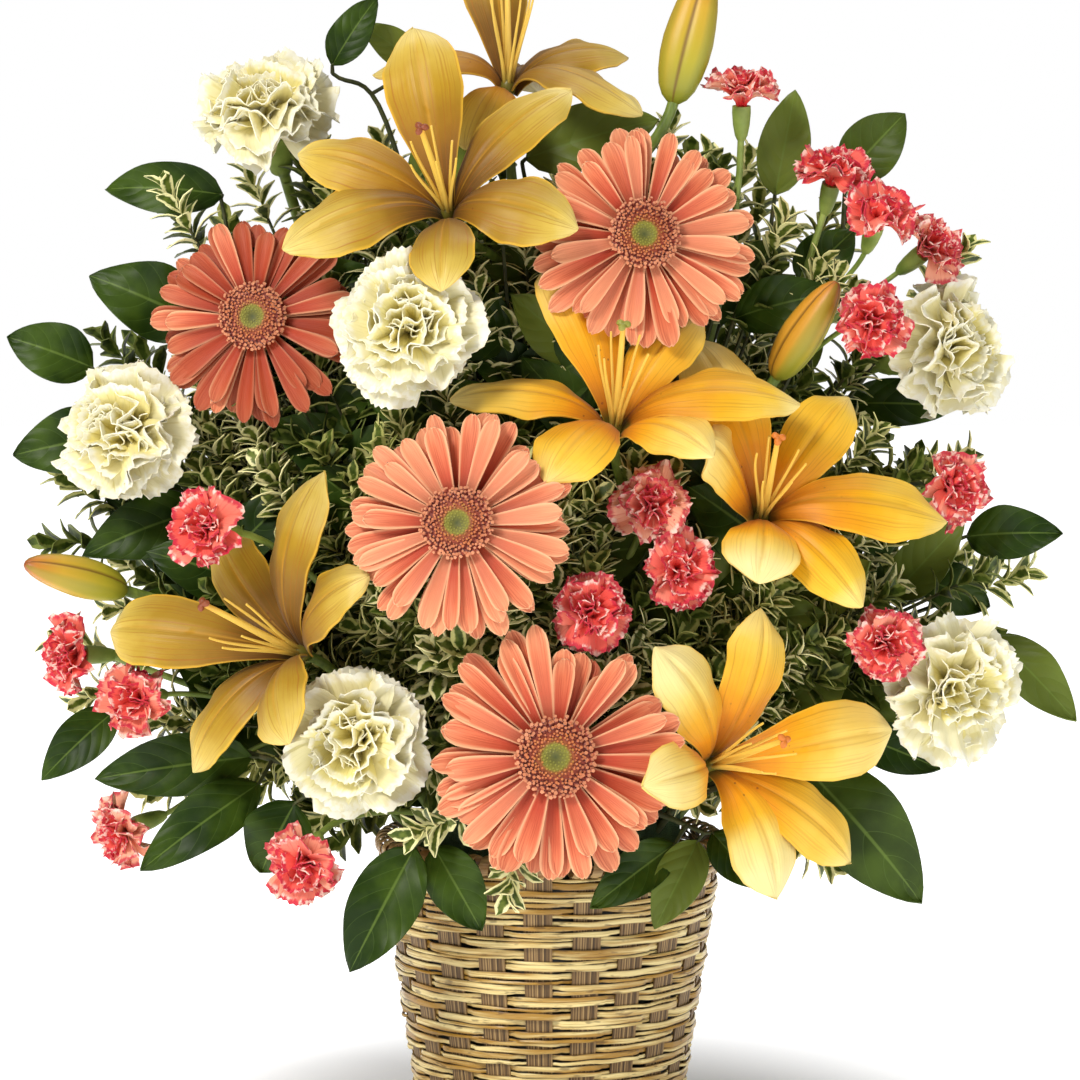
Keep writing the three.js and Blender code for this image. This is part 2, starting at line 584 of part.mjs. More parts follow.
const BROAD = {
  front_left: { root: [-24, -50, 142], fork: [-38, -66, 172], twigs: [[[-48, -76, 168], [-62, -90, 156]]],
    leaves: [[[-65, -92, 152], [-96, -100, 93], 34], [[-56, -91, 152], [-33, -96, 112], 27]] },
  front_right: { root: [24, -50, 142], fork: [36, -66, 172], twigs: [[[52, -76, 166], [74, -86, 158]]],
    leaves: [[[71, -86, 154], [50, -100, 114], 24], [[60, -88, 153], [19, -101, 124], 23],
      [[78, -86, 158], [101, -92, 132], 22]] },
  low_right: { root: [46, -32, 142], fork: [66, -42, 170],
    twigs: [[[84, -44, 174], [122, -50, 188]], [[90, -34, 178], [146, -26, 200]]],
    leaves: [[[124, -50, 186], [183, -60, 119], 44], [[150, -27, 198], [193, -32, 181], 24],
      [[128, -34, 190], [146, -40, 156], 24]] },
  right: { root: [54, 12, 138], fork: [72, 20, 178],
    twigs: [[[120, 14, 215], [172, 6, 262], [204, 2, 292]], [[140, 22, 205], [222, 12, 240]]],
    leaves: [[[172, 2, 264], [206, -14, 304], 26], [[208, -2, 294], [254, -14, 297], 27],
      [[186, 8, 272], [222, 8, 258], 26], [[224, 12, 242], [264, 2, 200], 26],
      [[150, 18, 238], [166, 22, 280], 28]] },
  upper_right: { root: [30, 32, 138], fork: [42, 40, 190],
    twigs: [[[70, 34, 300], [104, 18, 410], [112, 10, 462]],
      [[110, 38, 320], [144, 28, 420], [148, 16, 470]]],
    leaves: [[[126, 12, 420], [150, 4, 446], 28], [[112, 8, 464], [122, 8, 516], 26],
      [[92, 6, 412], [113, 4, 442], 28], [[148, 14, 473], [177, 12, 504], 30],
      [[152, 44, 358], [206, 38, 356], 26]] },
  top: { root: [0, 36, 138], fork: [-6, 42, 190],
    twigs: [[[-2, 36, 320], [-8, 24, 440], [-14, 14, 480]],
      [[-46, 34, 360], [-82, 22, 500], [-108, 6, 524]]],
    leaves: [[[-12, 12, 482], [54, 20, 500], 34], [[-66, 24, 528], [-94, 14, 549], 18],
      [[-108, 4, 528], [-86, 6, 561], 20], [[-70, 30, 470], [-28, 34, 500], 30]] },
  left: { root: [-26, 30, 138], fork: [-46, 38, 186],
    twigs: [[[-100, 30, 290], [-150, 16, 400], [-164, 8, 462]],
      [[-130, 28, 270], [-200, 10, 336], [-228, 4, 374]]],
    leaves: [[[-163, 6, 464], [-222, 6, 468], 27], [[-172, 12, 398], [-230, 10, 424], 38],
      [[-228, 2, 378], [-270, -2, 394], 30], [[-214, 6, 344], [-268, 2, 334], 34],
      [[-176, 6, 306], [-230, -18, 288], 32]] },
  low_left: { root: [-56, -30, 144], fork: [-82, -48, 172],
    twigs: [[[-110, -46, 182], [-142, -50, 190], [-214, -32, 212]], [[-100, -62, 172], [-118, -72, 174]]],
    leaves: [[[-146, -52, 190], [-222, -60, 180], 31], [[-142, -60, 178], [-198, -84, 139], 28],
      [[-215, -30, 210], [-250, -44, 178], 24], [[-124, -72, 170], [-142, -74, 134], 34]] },
  back_right: { root: [20, 48, 140], fork: [32, 64, 186], face: [0.5, 1, 0.35],
    twigs: [[[80, 62, 240], [110, 76, 360]], [[30, 84, 260], [34, 92, 420]],
      [[110, 60, 190], [172, 70, 230]]],
    leaves: [[[112, 78, 362], [136, 84, 420], 34], [[96, 72, 300], [150, 80, 322], 34],
      [[34, 92, 422], [50, 84, 484], 34], [[32, 92, 340], [82, 104, 366], 34],
      [[30, 86, 270], [-14, 104, 300], 32], [[174, 70, 230], [222, 66, 214], 32],
      [[130, 64, 204], [140, 92, 156], 32]] },
  back_left: { root: [-20, 48, 140], fork: [-32, 64, 186], face: [-0.5, 1, 0.35],
    twigs: [[[-84, 62, 240], [-116, 72, 380]], [[-36, 86, 280], [-44, 84, 450]],
      [[-110, 60, 190], [-168, 64, 250]]],
    leaves: [[[-117, 72, 382], [-140, 74, 440], 34], [[-104, 72, 310], [-158, 74, 334], 34],
      [[-44, 84, 452], [-56, 70, 512], 32], [[-42, 90, 360], [-90, 98, 384], 34],
      [[-36, 80, 250], [8, 104, 236], 32], [[-170, 64, 250], [-216, 60, 244], 32],
      [[-126, 64, 208], [-140, 92, 162], 32]] },
};

Object.entries(BROAD).forEach(([name, greens]) => {
  const { curves, parts } = twigsOf(greens, 4);
  const face = at(greens.face ?? [0, -1, 0.25]).normalize();
  for (const [foot, tip, width] of greens.leaves) {
    const joint = nearestJoint(curves, at(foot));
    const leaf = (by) => ({ joint, foot: at(foot), tip: at(tip).add(vec(0, by, 0)), width, face });
    const make = (by, thickness) => broadLeaf(leaf(by), thickness);
    const bend = bentClear(make, LEAF + 0.6);
    if (bend !== null) parts.push(make(bend, LEAF));
  }
  add(`leaves_${name}`, fuse(parts), finish.leaf);
});

// Sprays of small leaves: each twig ends in one leafy tip, and may bear a second on its side.
const SPRAYS = {
  left: { root: [-24, -15, 136], fork: [-36, -16, 184], tips: 2, twigs: [
    [[-80, -10, 270], [-120, -14, 340]], [[-50, -10, 270], [-62, -24, 330]],
    [[-110, -22, 250], [-158, -20, 310]], [[-75, -30, 230], [-98, -36, 292]],
    [[-84, -16, 340], [-106, -8, 450]], [[-120, -16, 300], [-190, 4, 396]]] },
  right: { root: [14, 24, 138], fork: [24, 26, 186], tips: 2, twigs: [
    [[40, 10, 250], [48, -4, 310]], [[56, 10, 220], [90, -18, 280]],
    [[84, 24, 300], [128, 8, 420]], [[90, 20, 260], [148, -4, 330]],
    [[110, 34, 300], [196, 24, 420]], [[110, 26, 220], [220, 8, 268]]] },
  front: { root: [-6, -54, 146], fork: [-10, -70, 172], tips: 1, twigs: [
    [[-30, -82, 170], [-48, -98, 166]], [[-12, -86, 166], [-16, -100, 150]]] },
};

Object.entries(SPRAYS).forEach(([name, greens]) => {
  const { curves, parts } = twigsOf(greens, 3);
  curves.forEach((curve, i) => {
    const [foot, way] = [curve.getPointAt(1), curve.getTangentAt(1)];
    const side = nearestJoint([curve], curve.getPointAt(0.62));
    const aside = way.clone().applyAxisAngle(vec(0, 1, 0.4).normalize(), i % 2 ? 0.7 : -0.7);
    const tips = [{ foot, way, pairs: 3 }, { foot: side, way: aside, pairs: 2 }];
    tips.slice(0, greens.tips).forEach((tip, k) => {
      const face = (by) => vec(Math.sin(by / 25 + k), -1, 0.4);
      const make = (by, thickness) => leafyTip({ ...tip, face: face(by) }, thickness);
      const turn = bentClear(make, LEAF + 0.6);
      if (turn !== null) parts.push(make(turn, LEAF));
    });
  });
  add(`spray_${name}`, fuse(parts), finish.variegated);
});

// ---- Basket, liner and foam ----
add("basket_base", solid(basketBase()), finish.cane);
add("basket_wall", solid(basketWall()), finish.cane);
add("basket_border", solid(basketBorder()), finish.border);
add("liner", solid(liner()), finish.liner);
add("foam", foamBlock(), finish.foam);

export default arrangement;
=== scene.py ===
# A flower basket arrangement: lilies, gerberas, carnations and cut foliage, standing in wet foam in
# a small woven basket. Each section makes one kind of piece. Blooms and leaves are modelled in
# millimetres about their own root, and their places are the ones that the frame's solids have.
import math
import random

import bpy
import numpy as np
from mathutils import Matrix, Vector, noise


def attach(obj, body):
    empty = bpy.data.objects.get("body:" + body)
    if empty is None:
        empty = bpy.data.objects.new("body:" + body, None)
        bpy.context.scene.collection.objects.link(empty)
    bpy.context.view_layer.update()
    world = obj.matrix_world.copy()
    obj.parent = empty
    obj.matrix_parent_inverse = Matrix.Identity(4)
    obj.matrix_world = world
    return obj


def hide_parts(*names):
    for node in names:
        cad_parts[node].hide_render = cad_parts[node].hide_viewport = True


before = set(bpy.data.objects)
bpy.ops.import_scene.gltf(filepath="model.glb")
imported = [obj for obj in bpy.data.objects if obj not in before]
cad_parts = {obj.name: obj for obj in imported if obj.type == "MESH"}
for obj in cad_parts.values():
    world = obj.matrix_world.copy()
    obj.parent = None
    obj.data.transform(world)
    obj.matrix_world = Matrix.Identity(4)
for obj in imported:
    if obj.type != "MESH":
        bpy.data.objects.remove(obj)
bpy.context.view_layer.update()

# ---- Camera, sweep and lights ----
# The camera is where the photograph was taken from: two metres off, a little above level. The
# floor is a white paper sweep that glows white away from the basket, a painted light that hides
# any shadow there, so only the soft shadow near the basket shows. The light is a large soft box
# from the upper left, a weaker one from the right and one from above.
MM = 0.001
AIM = Vector((-5, 0, 292)) * MM
DISTANCE = 2.0
RISE = math.radians(5)
LENS = 133.33

back = Vector((0, -math.cos(RISE), math.sin(RISE)))
turned_to = back.to_track_quat("Z", "Y").to_euler()
bpy.ops.object.camera_add(location=AIM + back * DISTANCE, rotation=turned_to)
camera = bpy.context.object
camera.name = "camera"
camera.data.lens = LENS
camera.data.sensor_width = 36
camera.data.clip_end = 20
bpy.context.scene.camera = camera
bpy.context.scene.view_settings.view_transform = "Standard"


def colour(red, green, blue):
    """A colour given as it looks on a screen, from 0 to 255, for a shader."""
    straight = [((c / 255 + 0.055) / 1.055) ** 2.4 if c > 10 else c / 255 / 12.92 for c in (red, green, blue)]
    return (*straight, 1.0)


def new_finish(name, roughness, **sockets):
    """A material with its shader's plain values set: returns it, its node tree and the shader."""
    material = bpy.data.materials.new(name)
    material.use_nodes = True
    shader = material.node_tree.nodes["Principled BSDF"]
    shader.inputs["Roughness"].default_value = roughness
    for socket, value in sockets.items():
        shader.inputs[socket.replace("_", " ")].default_value = value
    return material, material.node_tree, shader


def node(tree, kind, inputs=(), output=0, **settings):
    """Adds a node with its inputs set or linked, and returns one of its outputs."""
    made = tree.nodes.new("ShaderNode" + kind)
    for setting, value in settings.items():
        setattr(made, setting, value)
    for socket, value in dict(inputs).items():
        if isinstance(value, bpy.types.NodeSocket):
            tree.links.new(value, made.inputs[socket])
        else:
            made.inputs[socket].default_value = value
    return made.outputs[output]


def maths(tree, operation, a, b=0.0, c=0.0):
    return node(tree, "Math", {0: a, 1: b, 2: c}, operation=operation)


def mixed(tree, share, a, b):
    """The colour that is a where share is 0 and b where it is 1."""
    return node(tree, "Mix", {0: share, 6: a, 7: b}, output=2, data_type="RGBA")


def between(tree, value, low, high):
    """0 where value is at low, 1 where it is at high, smooth in between."""
    return node(tree, "MapRange", {0: value, 1: low, 2: high}, interpolation_type="SMOOTHSTEP")


def gradient(tree, value, stops):
    """A colour that runs through stops, each a position and then red, green and blue from 0 to 255."""
    made = tree.nodes.new("ShaderNodeValToRGB")
    tree.links.new(value, made.inputs[0])
    points = made.color_ramp.elements
    while len(points) < len(stops):
        points.new(0.5)
    for point, (position, *shade) in zip(points, stops):
        point.position = position
        point.color = colour(*shade)
    return made.outputs[0]


SWEEP = {"radius": 6.0, "drop": 0.0005, "shadow": (0.1, 0.3)}  # shadows show up to these distances
bpy.ops.mesh.primitive_circle_add(vertices=64, radius=SWEEP["radius"], fill_type="NGON",
                                  location=(0, 0, -SWEEP["drop"]))
sweep = bpy.context.object
sweep.name = "sweep"
glowing_paper, tree, shader = new_finish("glowing_white_paper", 0.9)
reach = node(tree, "VectorMath", {0: node(tree, "TexCoord", output=3)}, output=1, operation="LENGTH")
shader.inputs["Base Color"].default_value = colour(236, 236, 238)
shader.inputs["Emission Color"].default_value = colour(255, 255, 255)
# The paper glows white, more and more from the first shadow distance to the second: painted light, so that
# the floor far off is as white as the backdrop.
glow = maths(tree, "MULTIPLY_ADD", between(tree, reach, *SWEEP["shadow"]), 0.92, 0.08)
tree.links.new(glow, shader.inputs["Emission Strength"])
sweep.data.materials.append(glowing_paper)

LIT_HEIGHT = 0.3
LIGHTS = {
    "key": {"place": (-1.3, -1.9, 1.9), "size": 0.7, "power": 52, "tint": (1.0, 0.97, 0.93)},
    "fill": {"place": (1.7, -1.5, 0.7), "size": 1.4, "power": 7, "tint": (0.96, 0.98, 1.0)},
    "top": {"place": (0.2, 0.5, 2.2), "size": 1.2, "power": 14, "tint": (1.0, 1.0, 1.0)},
}
for name, light in LIGHTS.items():
    away = Vector(light["place"]) - Vector((0, 0, LIT_HEIGHT))
    turned_to = away.to_track_quat("Z", "Y").to_euler()
    bpy.ops.object.light_add(type="AREA", location=light["place"], rotation=turned_to)
    lamp = bpy.context.object
    lamp.name = name
    lamp.data.size = light["size"]
    lamp.data.energy = light["power"]
    lamp.data.color = light["tint"]

world = bpy.data.worlds.new("studio")
bpy.context.scene.world = world
world.use_nodes = True
tree = world.node_tree
dim = node(tree, "Background", {0: (1, 1, 1, 1), 1: 0.24})
bright = node(tree, "Background", {0: (1, 1, 1, 1), 1: 1.0})
seen = node(tree, "LightPath")
tree.links.new(node(tree, "MixShader", {0: seen, 1: dim, 2: bright}), tree.nodes["World Output"].inputs[0])

# ---- Basket ----
# The wall is woven of flat pale cane, each row over two dark stakes and under the third, and each
# row one stake further on. The stakes are split rattan, dark and striped. The rim is bound with
# cane wound round a core. The base, the liner and the foam keep their own shapes.
BASKET = {"foot": 64, "rim": 85, "height": 140, "base": 5.3, "stakes": 21, "rows": 22}
CANE = {"width": 5.9, "thickness": 1.7, "over": 1.3, "under": -1.2}
STAKE = {"width": 14.5, "thickness": 1.0, "top": 137}
BORDER = {"reach": 5.9, "turns": 58, "width": 5.6, "thickness": 1.3}
basket_draw = random.Random(7)


def deselect():
    bpy.ops.object.select_all(action="DESELECT")


def picked(piece):
    """Selects one piece alone and makes it active."""
    deselect()
    piece.select_set(True)
    bpy.context.view_layer.objects.active = piece


def valued(piece, **values):
    """Gives the points of a piece values that its material reads: one for all, or one for each."""
    for name, value in values.items():
        layer = piece.data.attributes.get(name) or piece.data.attributes.new(name, "FLOAT", "POINT")
        layer.data.foreach_set("value", np.broadcast_to(value, len(layer.data)).astype(np.float32))
    return piece


def joined(name, pieces):
    deselect()
    for piece in pieces:
        piece.select_set(True)
    bpy.context.view_layer.objects.active = pieces[0]
    bpy.ops.object.join()
    whole = bpy.context.object
    whole.name = name
    whole.data.name = name
    return whole


def applied(piece, kind, **settings):
    """Adds a modifier to a piece and applies it."""
    modifier = piece.modifiers.new(kind.lower(), kind)
    for setting, value in settings.items():
        setattr(modifier, setting, value)
    picked(piece)
    bpy.ops.object.modifier_apply(modifier=modifier.name)


def smoothed(piece, degrees=50):
    picked(piece)
    bpy.ops.object.shade_smooth_by_angle(angle=math.radians(degrees))


def handed_in(piece, material, slot, *nodes, wall=0.0, smooth_to=50):
    """Finishes a piece, with a wall in millimetres if it is a sheet, and lets it stand for its solids."""
    if wall:
        applied(piece, "SOLIDIFY", thickness=wall * MM, offset=0)
    piece.data.materials.clear()
    piece.data.materials.append(material)
    smoothed(piece, smooth_to)
    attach(piece, "root")
    if nodes:
        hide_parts(*nodes)


def wall_radius(height):
    share = height / BASKET["height"]
    return BASKET["foot"] + (BASKET["rim"] - BASKET["foot"]) * share


def smooth_step(value):
    value = min(max(value, 0.0), 1.0)
    return value * value * (3 - 2 * value)


def weaver(row, low, high):
    """One strand of a row of cane: a ring that passes in front of two stakes and behind the third."""
    pitch = (BASKET["height"] - 5 - BASKET["base"]) / BASKET["rows"]
    height = BASKET["base"] + (row + 0.5) * pitch
    middle, half, seed = (low + high) / 2, (high - low) / 2, row * 5.3 + low
    bpy.ops.mesh.primitive_torus_add(major_segments=BASKET["stakes"] * 10, minor_segments=6, major_radius=1.0,
                                     minor_radius=0.1, generate_uvs=True)
    strip = bpy.context.object
    tilt, start = basket_draw.uniform(-0.7, 0.7), basket_draw.uniform(0, math.tau)
    proud = basket_draw.uniform(-0.3, 0.3)
    sides = []
    for point in strip.data.vertices:
        x, y, z = point.co
        turn = math.atan2(y, x)
        across, up = (math.hypot(x, y) - 1) / 0.1, z / 0.1
        stake = (turn / math.tau * BASKET["stakes"] - row) % 3
        behind = smooth_step((stake + 0.06) / 0.22) - smooth_step((stake - 0.84) / 0.22)
        behind = max(behind, smooth_step((stake - 2.84) / 0.22) if stake > 2.8 else 0)
        depth = CANE["over"] + (CANE["under"] - CANE["over"]) * behind
        belly = 0.35 * math.sin((stake - 1) / 2 * math.pi) if 1 < stake else 0
        thin = 0.94 - 0.3 * noise.noise(Vector((turn * 6, seed * 3.1, 0))) - 0.12 * behind
        rise = tilt * math.sin(turn + start) + 0.7 * noise.noise(Vector((turn * 5, seed, 2)))
        loose = proud + 0.5 * noise.noise(Vector((turn * 8, seed, 7)))
        radius = wall_radius(height) + depth + belly + loose * (1 - behind) + across * CANE["thickness"] / 2
        point.co = (radius * math.cos(turn) * MM, radius * math.sin(turn) * MM,
                    (height + rise + (middle + up * half * thin) * CANE["width"] / 2) * MM)
        # how far across the strand from its middle, for the painted shade at its sides
        sides.append(abs(up))
    return valued(strip, side=sides, tone=basket_draw.random())


def stake(index):
    """One flat upright of split rattan, curved to the wall."""
    bpy.ops.mesh.primitive_grid_add(x_subdivisions=6, y_subdivisions=12, size=1, calc_uvs=True)
    upright = bpy.context.object
    for point in upright.data.vertices:
        height = BASKET["base"] + (point.co.y + 0.5) * (STAKE["top"] - BASKET["base"])
        radius = wall_radius(height)
        narrow = 0.82 + 0.18 * height / BASKET["height"]
        turn = (index + 0.5) / BASKET["stakes"] * math.tau + point.co.x * STAKE["width"] * narrow / radius
        point.co = (radius * math.cos(turn) * MM, radius * math.sin(turn) * MM, height * MM)
    applied(upright, "SOLIDIFY", thickness=STAKE["thickness"] * MM, offset=0)
    return valued(upright, tone=basket_draw.random())


def binding(turn):
    """One slanted turn of the cane that binds the rim."""
    bpy.ops.mesh.primitive_torus_add(major_segments=20, minor_segments=6, major_radius=1.0, minor_radius=0.1,
                                     generate_uvs=True)
    loop = bpy.context.object
    wide = BORDER["width"] * basket_draw.uniform(0.9, 1.1)
    for point in loop.data.vertices:
        x, y, z = point.co
        round_core = math.atan2(y, x)
        across, along = (math.hypot(x, y) - 1) / 0.1, z / 0.1
        reach = BORDER["reach"] - 0.9 + across * BORDER["thickness"] / 2 - 0.25 * along * along
        slant = 0.55 * (round_core / math.pi) * BORDER["width"]
        radius = wall_radius(BASKET["height"]) - 2.5 + reach * math.cos(round_core)
        around = turn + (along * wide / 2 + slant) / radius
        point.co = (radius * math.cos(around) * MM, radius * math.sin(around) * MM,
                    (BASKET["height"] + reach * math.sin(round_core)) * MM)
    return valued(loop, tone=basket_draw.random())


def value_of(tree, name="tone"):
    """A value that the points of a piece were given."""
    return node(tree, "Attribute", output=2, attribute_name=name)


def cloud(tree, scale, detail=2.0, on=None):
    """Noise over a piece: in its own place, or on its UV map. Three scales stretch it."""
    if on is None:
        on = node(tree, "TexCoord", output=3)
    if isinstance(scale, tuple):
        on, scale = node(tree, "Mapping", {0: on, 3: scale}), 1.0
    return node(tree, "TexNoise", {0: on, 2: scale, 3: detail})


def washed(tree, base, shade, value, low, high, most):
    """The base under a wash of another colour: none where value is at low, most where it is at high."""
    return mixed(tree, maths(tree, "MULTIPLY", between(tree, value, low, high), most), base, shade)


def painted(tree, shader, shade):
    tree.links.new(shade, shader.inputs["Base Color"])


def raised(tree, shader, height, strength, distance):
    """Fine relief that the eye sees in the gloss, from a pattern."""
    relief = node(tree, "Bump", {"Strength": strength, "Distance": distance, "Height": height})
    tree.links.new(relief, shader.inputs["Normal"])


def cane_finish(name, pale, deep, dark):
    """Split cane: golden and brown lengths, fine grain, painted shade at the sides and brown marks, under a
    gloss.
    """
    material, tree, shader = new_finish(name, 0.34, Specular_IOR_Level=0.5)
    grain = cloud(tree, (34, 34, 1500), 3.0)
    lengths = maths(tree, "MULTIPLY_ADD", value_of(tree), 0.22, cloud(tree, (26, 26, 260), 3.0))
    base = mixed(tree, between(tree, lengths, 0.48, 0.78), pale, deep)
    base = washed(tree, base, deep, grain, 0.46, 0.68, 0.65)
    base = washed(tree, base, dark, cloud(tree, (110, 110, 420), 2.0), 0.58, 0.7, 0.6)
    # painted shade along the sides of each strand, where it meets the rows above and below
    base = washed(tree, base, dark, value_of(tree, "side"), 0.5, 0.98, 0.8)
    painted(tree, shader, base)
    raised(tree, shader, grain, 0.6, 0.0005)
    return material


cane = cane_finish("cane", colour(246, 224, 154), colour(178, 134, 50), colour(86, 56, 22))
bound_cane = cane_finish("bound_cane", colour(206, 172, 118), colour(150, 106, 60), colour(84, 56, 34))

rattan, tree, shader = new_finish("striped_rattan", 0.6)
uv = node(tree, "UVMap", uv_map="UVMap")
lines = cloud(tree, (18, 0.8, 1), 2.0, uv)
painted(tree, shader, gradient(tree, lines, [
    (0.34, 54, 38, 20), (0.5, 122, 92, 52), (0.62, 182, 150, 98)]))
raised(tree, shader, lines, 0.6, 0.0004)

deselect()
rows = []
for row in range(BASKET["rows"]):
    split = basket_draw.choice([-0.35, -0.15, 0.1, 0.35])
    rows += [weaver(row, -1, split), weaver(row, split, 1)]
weave = joined("woven_wall", rows)
uprights = joined("stakes", [stake(index) for index in range(BASKET["stakes"])])
handed_in(weave, cane, "cane", "basket_wall")
handed_in(uprights, rattan, "cane", "basket_wall")
rim = joined("bound_rim", [binding(turn * math.tau / BORDER["turns"]) for turn in range(BORDER["turns"])])
handed_in(rim, bound_cane, "cane_border", "basket_border")

coiled, tree, shader = new_finish("coiled_base", 0.55)
place = node(tree, "TexCoord", output=3)
rings = node(tree, "TexWave", {0: place, 1: 28.0, 2: 1.2, 3: 2.0}, output=1, wave_type="RINGS",
             rings_direction="Z")
painted(tree, shader, gradient(tree, rings, [
    (0.1, 92, 64, 38), (0.5, 186, 148, 92), (0.9, 222, 192, 136)]))
raised(tree, shader, rings, 0.8, 0.001)

plastic, tree, shader = new_finish("dark_plastic", 0.35)
scuffs = cloud(tree, 90.0, 5.0)
painted(tree, shader, gradient(tree, scuffs, [(0.35, 26, 30, 26), (0.7, 46, 52, 44)]))

wet_foam, tree, shader = new_finish("wet_foam", 0.85)
pores = node(tree, "TexVoronoi", {0: node(tree, "TexCoord", output=3), 2: 1400.0})
clods = between(tree, cloud(tree, 60.0, 5.0), 0.35, 0.7)
painted(tree, shader, mixed(tree, clods, colour(34, 58, 30), colour(60, 88, 48)))
raised(tree, shader, pores, 0.7, 0.0008)

for solid, material in {"basket_base": coiled, "liner": plastic, "foam": wet_foam}.items():
    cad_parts[solid].data.materials.clear()
    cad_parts[solid].data.materials.append(material)

# ---- Gerberas ----
# Four daisies of salmon rays in whorls over each other. The rays are blunt, with two grooves along
# them. The disc has a green eye in a ring of orange and dark red florets. The stem is downy and
# ends in a green cup. Each stands in the foam.
GERBERAS = [
    {"place": (-144, -42, 404), "yaw": -8, "pitch": 12, "size": 0.96, "root": (-34, -8, 134), "tone": 0.12},
    {"place": (44, -70, 444), "yaw": 8, "pitch": 14, "size": 1.0, "root": (10, -8, 134), "tone": 0.66},
    {"place": (-43, -135, 311), "yaw": -6, "pitch": 14, "size": 0.98, "root": (-12, -26, 134), "tone": 0.82},
    {"place": (2, -140, 203), "yaw": 2, "pitch": 4, "size": 1.1, "root": (3, -44, 140), "tone": 0.48,
     "under": (18, 266)},
]
RAY_WHORLS = [  # rays, reach, width, rise in degrees, lift
    (22, 56, 10.8, 0, -2.6), (21, 55, 10.6, 3.5, -1.2), (11, 52, 9.6, 6.5, 0.2),
]
UNDER = {"near": 17, "kept": 0.83}  # a ray that ends this near a head that lies on it is kept short
DISC = {"radius": 16.2, "eye": 6.3, "foot": 4.6, "florets": 380}
GERBERA = {"wall": 0.6, "stem": 3.2, "neck": 15, "scales": 32, "room": 54}
GOLDEN_TURN = 2.39996
TO_METRES = Matrix.Scale(MM, 4)
gerbera_draw = random.Random(21)
in_front = []  # what foliage keeps clear of: discs, strips and leaves


def smooth(values):
    values = np.clip(values, 0, 1)
    return values * values * (3 - 2 * values)


def flat_sheet(columns, rows):
    """A flat square of quads to shape into petals and leaves, with a UV map over it."""
    deselect()
    bpy.ops.mesh.primitive_grid_add(x_subdivisions=columns, y_subdivisions=rows, size=1, calc_uvs=True)
    flat = bpy.context.object
    mesh = flat.data
    bpy.data.objects.remove(flat)
    return mesh


def placed(mesh, **values):
    """An object with its own copy of a mesh."""
    piece = bpy.data.objects.new("piece", mesh.copy())
    bpy.context.collection.objects.link(piece)
    return valued(piece, **values)


def shaped(flat, shape, **values):
    """A copy of a sheet whose points go where shape says, from -1 to 1 across and 0 to 1 along."""
    piece = placed(flat, **values)
    points = np.empty(len(flat.vertices) * 3, np.float32)
    flat.vertices.foreach_get("co", points)
    across, along = points[0::3] * 2, points[1::3] + 0.5
    piece.data.vertices.foreach_set("co", np.stack(shape(across, along), axis=1).astype(np.float32).ravel())
    return piece


def facing(yaw, pitch):
    yaw, pitch = math.radians(yaw), math.radians(pitch)
    return Vector((math.sin(yaw) * math.cos(pitch), -math.cos(yaw) * math.cos(pitch), math.sin(pitch)))


def frame_of(place, axis, spin=0.0, size=1.0):
    """From a bloom's own millimetres, with +Z along its axis, to its place in metres."""
    across = Vector((0, 0, 1)).cross(axis).normalized()
    basis = Matrix((across, axis.cross(across), axis)).transposed().to_4x4()
    return (TO_METRES @ Matrix.Translation(Vector(place)) @ basis @ Matrix.Rotation(spin, 4, "Z")
            @ Matrix.Scale(size, 4))


def around(side, out, up, turn):
    return side * math.cos(turn) - out * math.sin(turn), side * math.sin(turn) + out * math.cos(turn), up


def turned(profile, sides):
    """A solid of revolution from its profile of (radius, height), listed from its top down."""
    rings = len(profile) - 1
    deselect()
    bpy.ops.mesh.primitive_uv_sphere_add(segments=sides, ring_count=rings, radius=1)
    lathe = bpy.context.object
    for point in lathe.data.vertices:
        radius, height = profile[round(math.acos(max(-1, min(1, point.co.z))) / math.pi * rings)]
        turn = math.atan2(point.co.y, point.co.x)
        point.co = (radius * math.cos(turn), radius * math.sin(turn), height)
    return lathe


def bezier(a, b, c, d, steps=18):
    t = np.linspace(0, 1, steps + 1)[:, None]
    a, b, c, d = (np.array(p, float) for p in (a, b, c, d))
    return a * (1 - t) ** 3 + 3 * b * t * (1 - t) ** 2 + 3 * c * t * t * (1 - t) + d * t ** 3


def stem_route(root, neck, axis):
    """A stem leaves its root steeply, bends over, and meets its bloom along the bloom's axis."""
    root, neck = Vector(root), Vector(neck)
    span = (neck - root).length
    leave = ((neck - root).normalized() * 0.6 + Vector((0, 0, 0.4))).normalized()
    return bezier(root, root + leave * 0.35 * span, neck - axis * 0.3 * span, neck)


def tubes(name, runs, sides=8):
    """Round stems along routes, each with a radius at its foot and one at its tip."""
    curve = bpy.data.curves.new(name, "CURVE")
    curve.dimensions = "3D"
    curve.bevel_depth = MM
    curve.bevel_resolution = max(sides // 2 - 2, 0)
    curve.use_fill_caps = True
    for route, foot, tip in runs:
        spline = curve.splines.new("POLY")
        spline.points.add(len(route) - 1)
        spline.points.foreach_set("co", np.hstack([np.array(route) * MM, np.ones((len(route), 1))]).ravel())
        spline.points.foreach_set("radius", np.linspace(foot, tip, len(route)))
    piece = bpy.data.objects.new(name, curve)
    bpy.context.collection.objects.link(piece)
    picked(piece)
    bpy.ops.object.convert(target="MESH")
    smoothed(bpy.context.object, 60)
    return bpy.context.object


def sheet_places(tree):
    """A sheet's UV map, how far along it a place is, and how far off its middle, each from 0 to 1."""
    uv = node(tree, "UVMap", uv_map="UVMap")
    split = node(tree, "SeparateXYZ", {0: uv}).node
    off = maths(tree, "ABSOLUTE", maths(tree, "MULTIPLY_ADD", split.outputs[0], 2.0, -1.0))
    return uv, split.outputs[1], off


def wandering(tree, along, scale, detail, reach):
    """How far along a petal a place is, moved to and fro a little so that no colour ends in a line."""
    shift = maths(tree, "MULTIPLY_ADD", cloud(tree, scale, detail), reach, -reach / 2)
    return maths(tree, "ADD", along, shift)


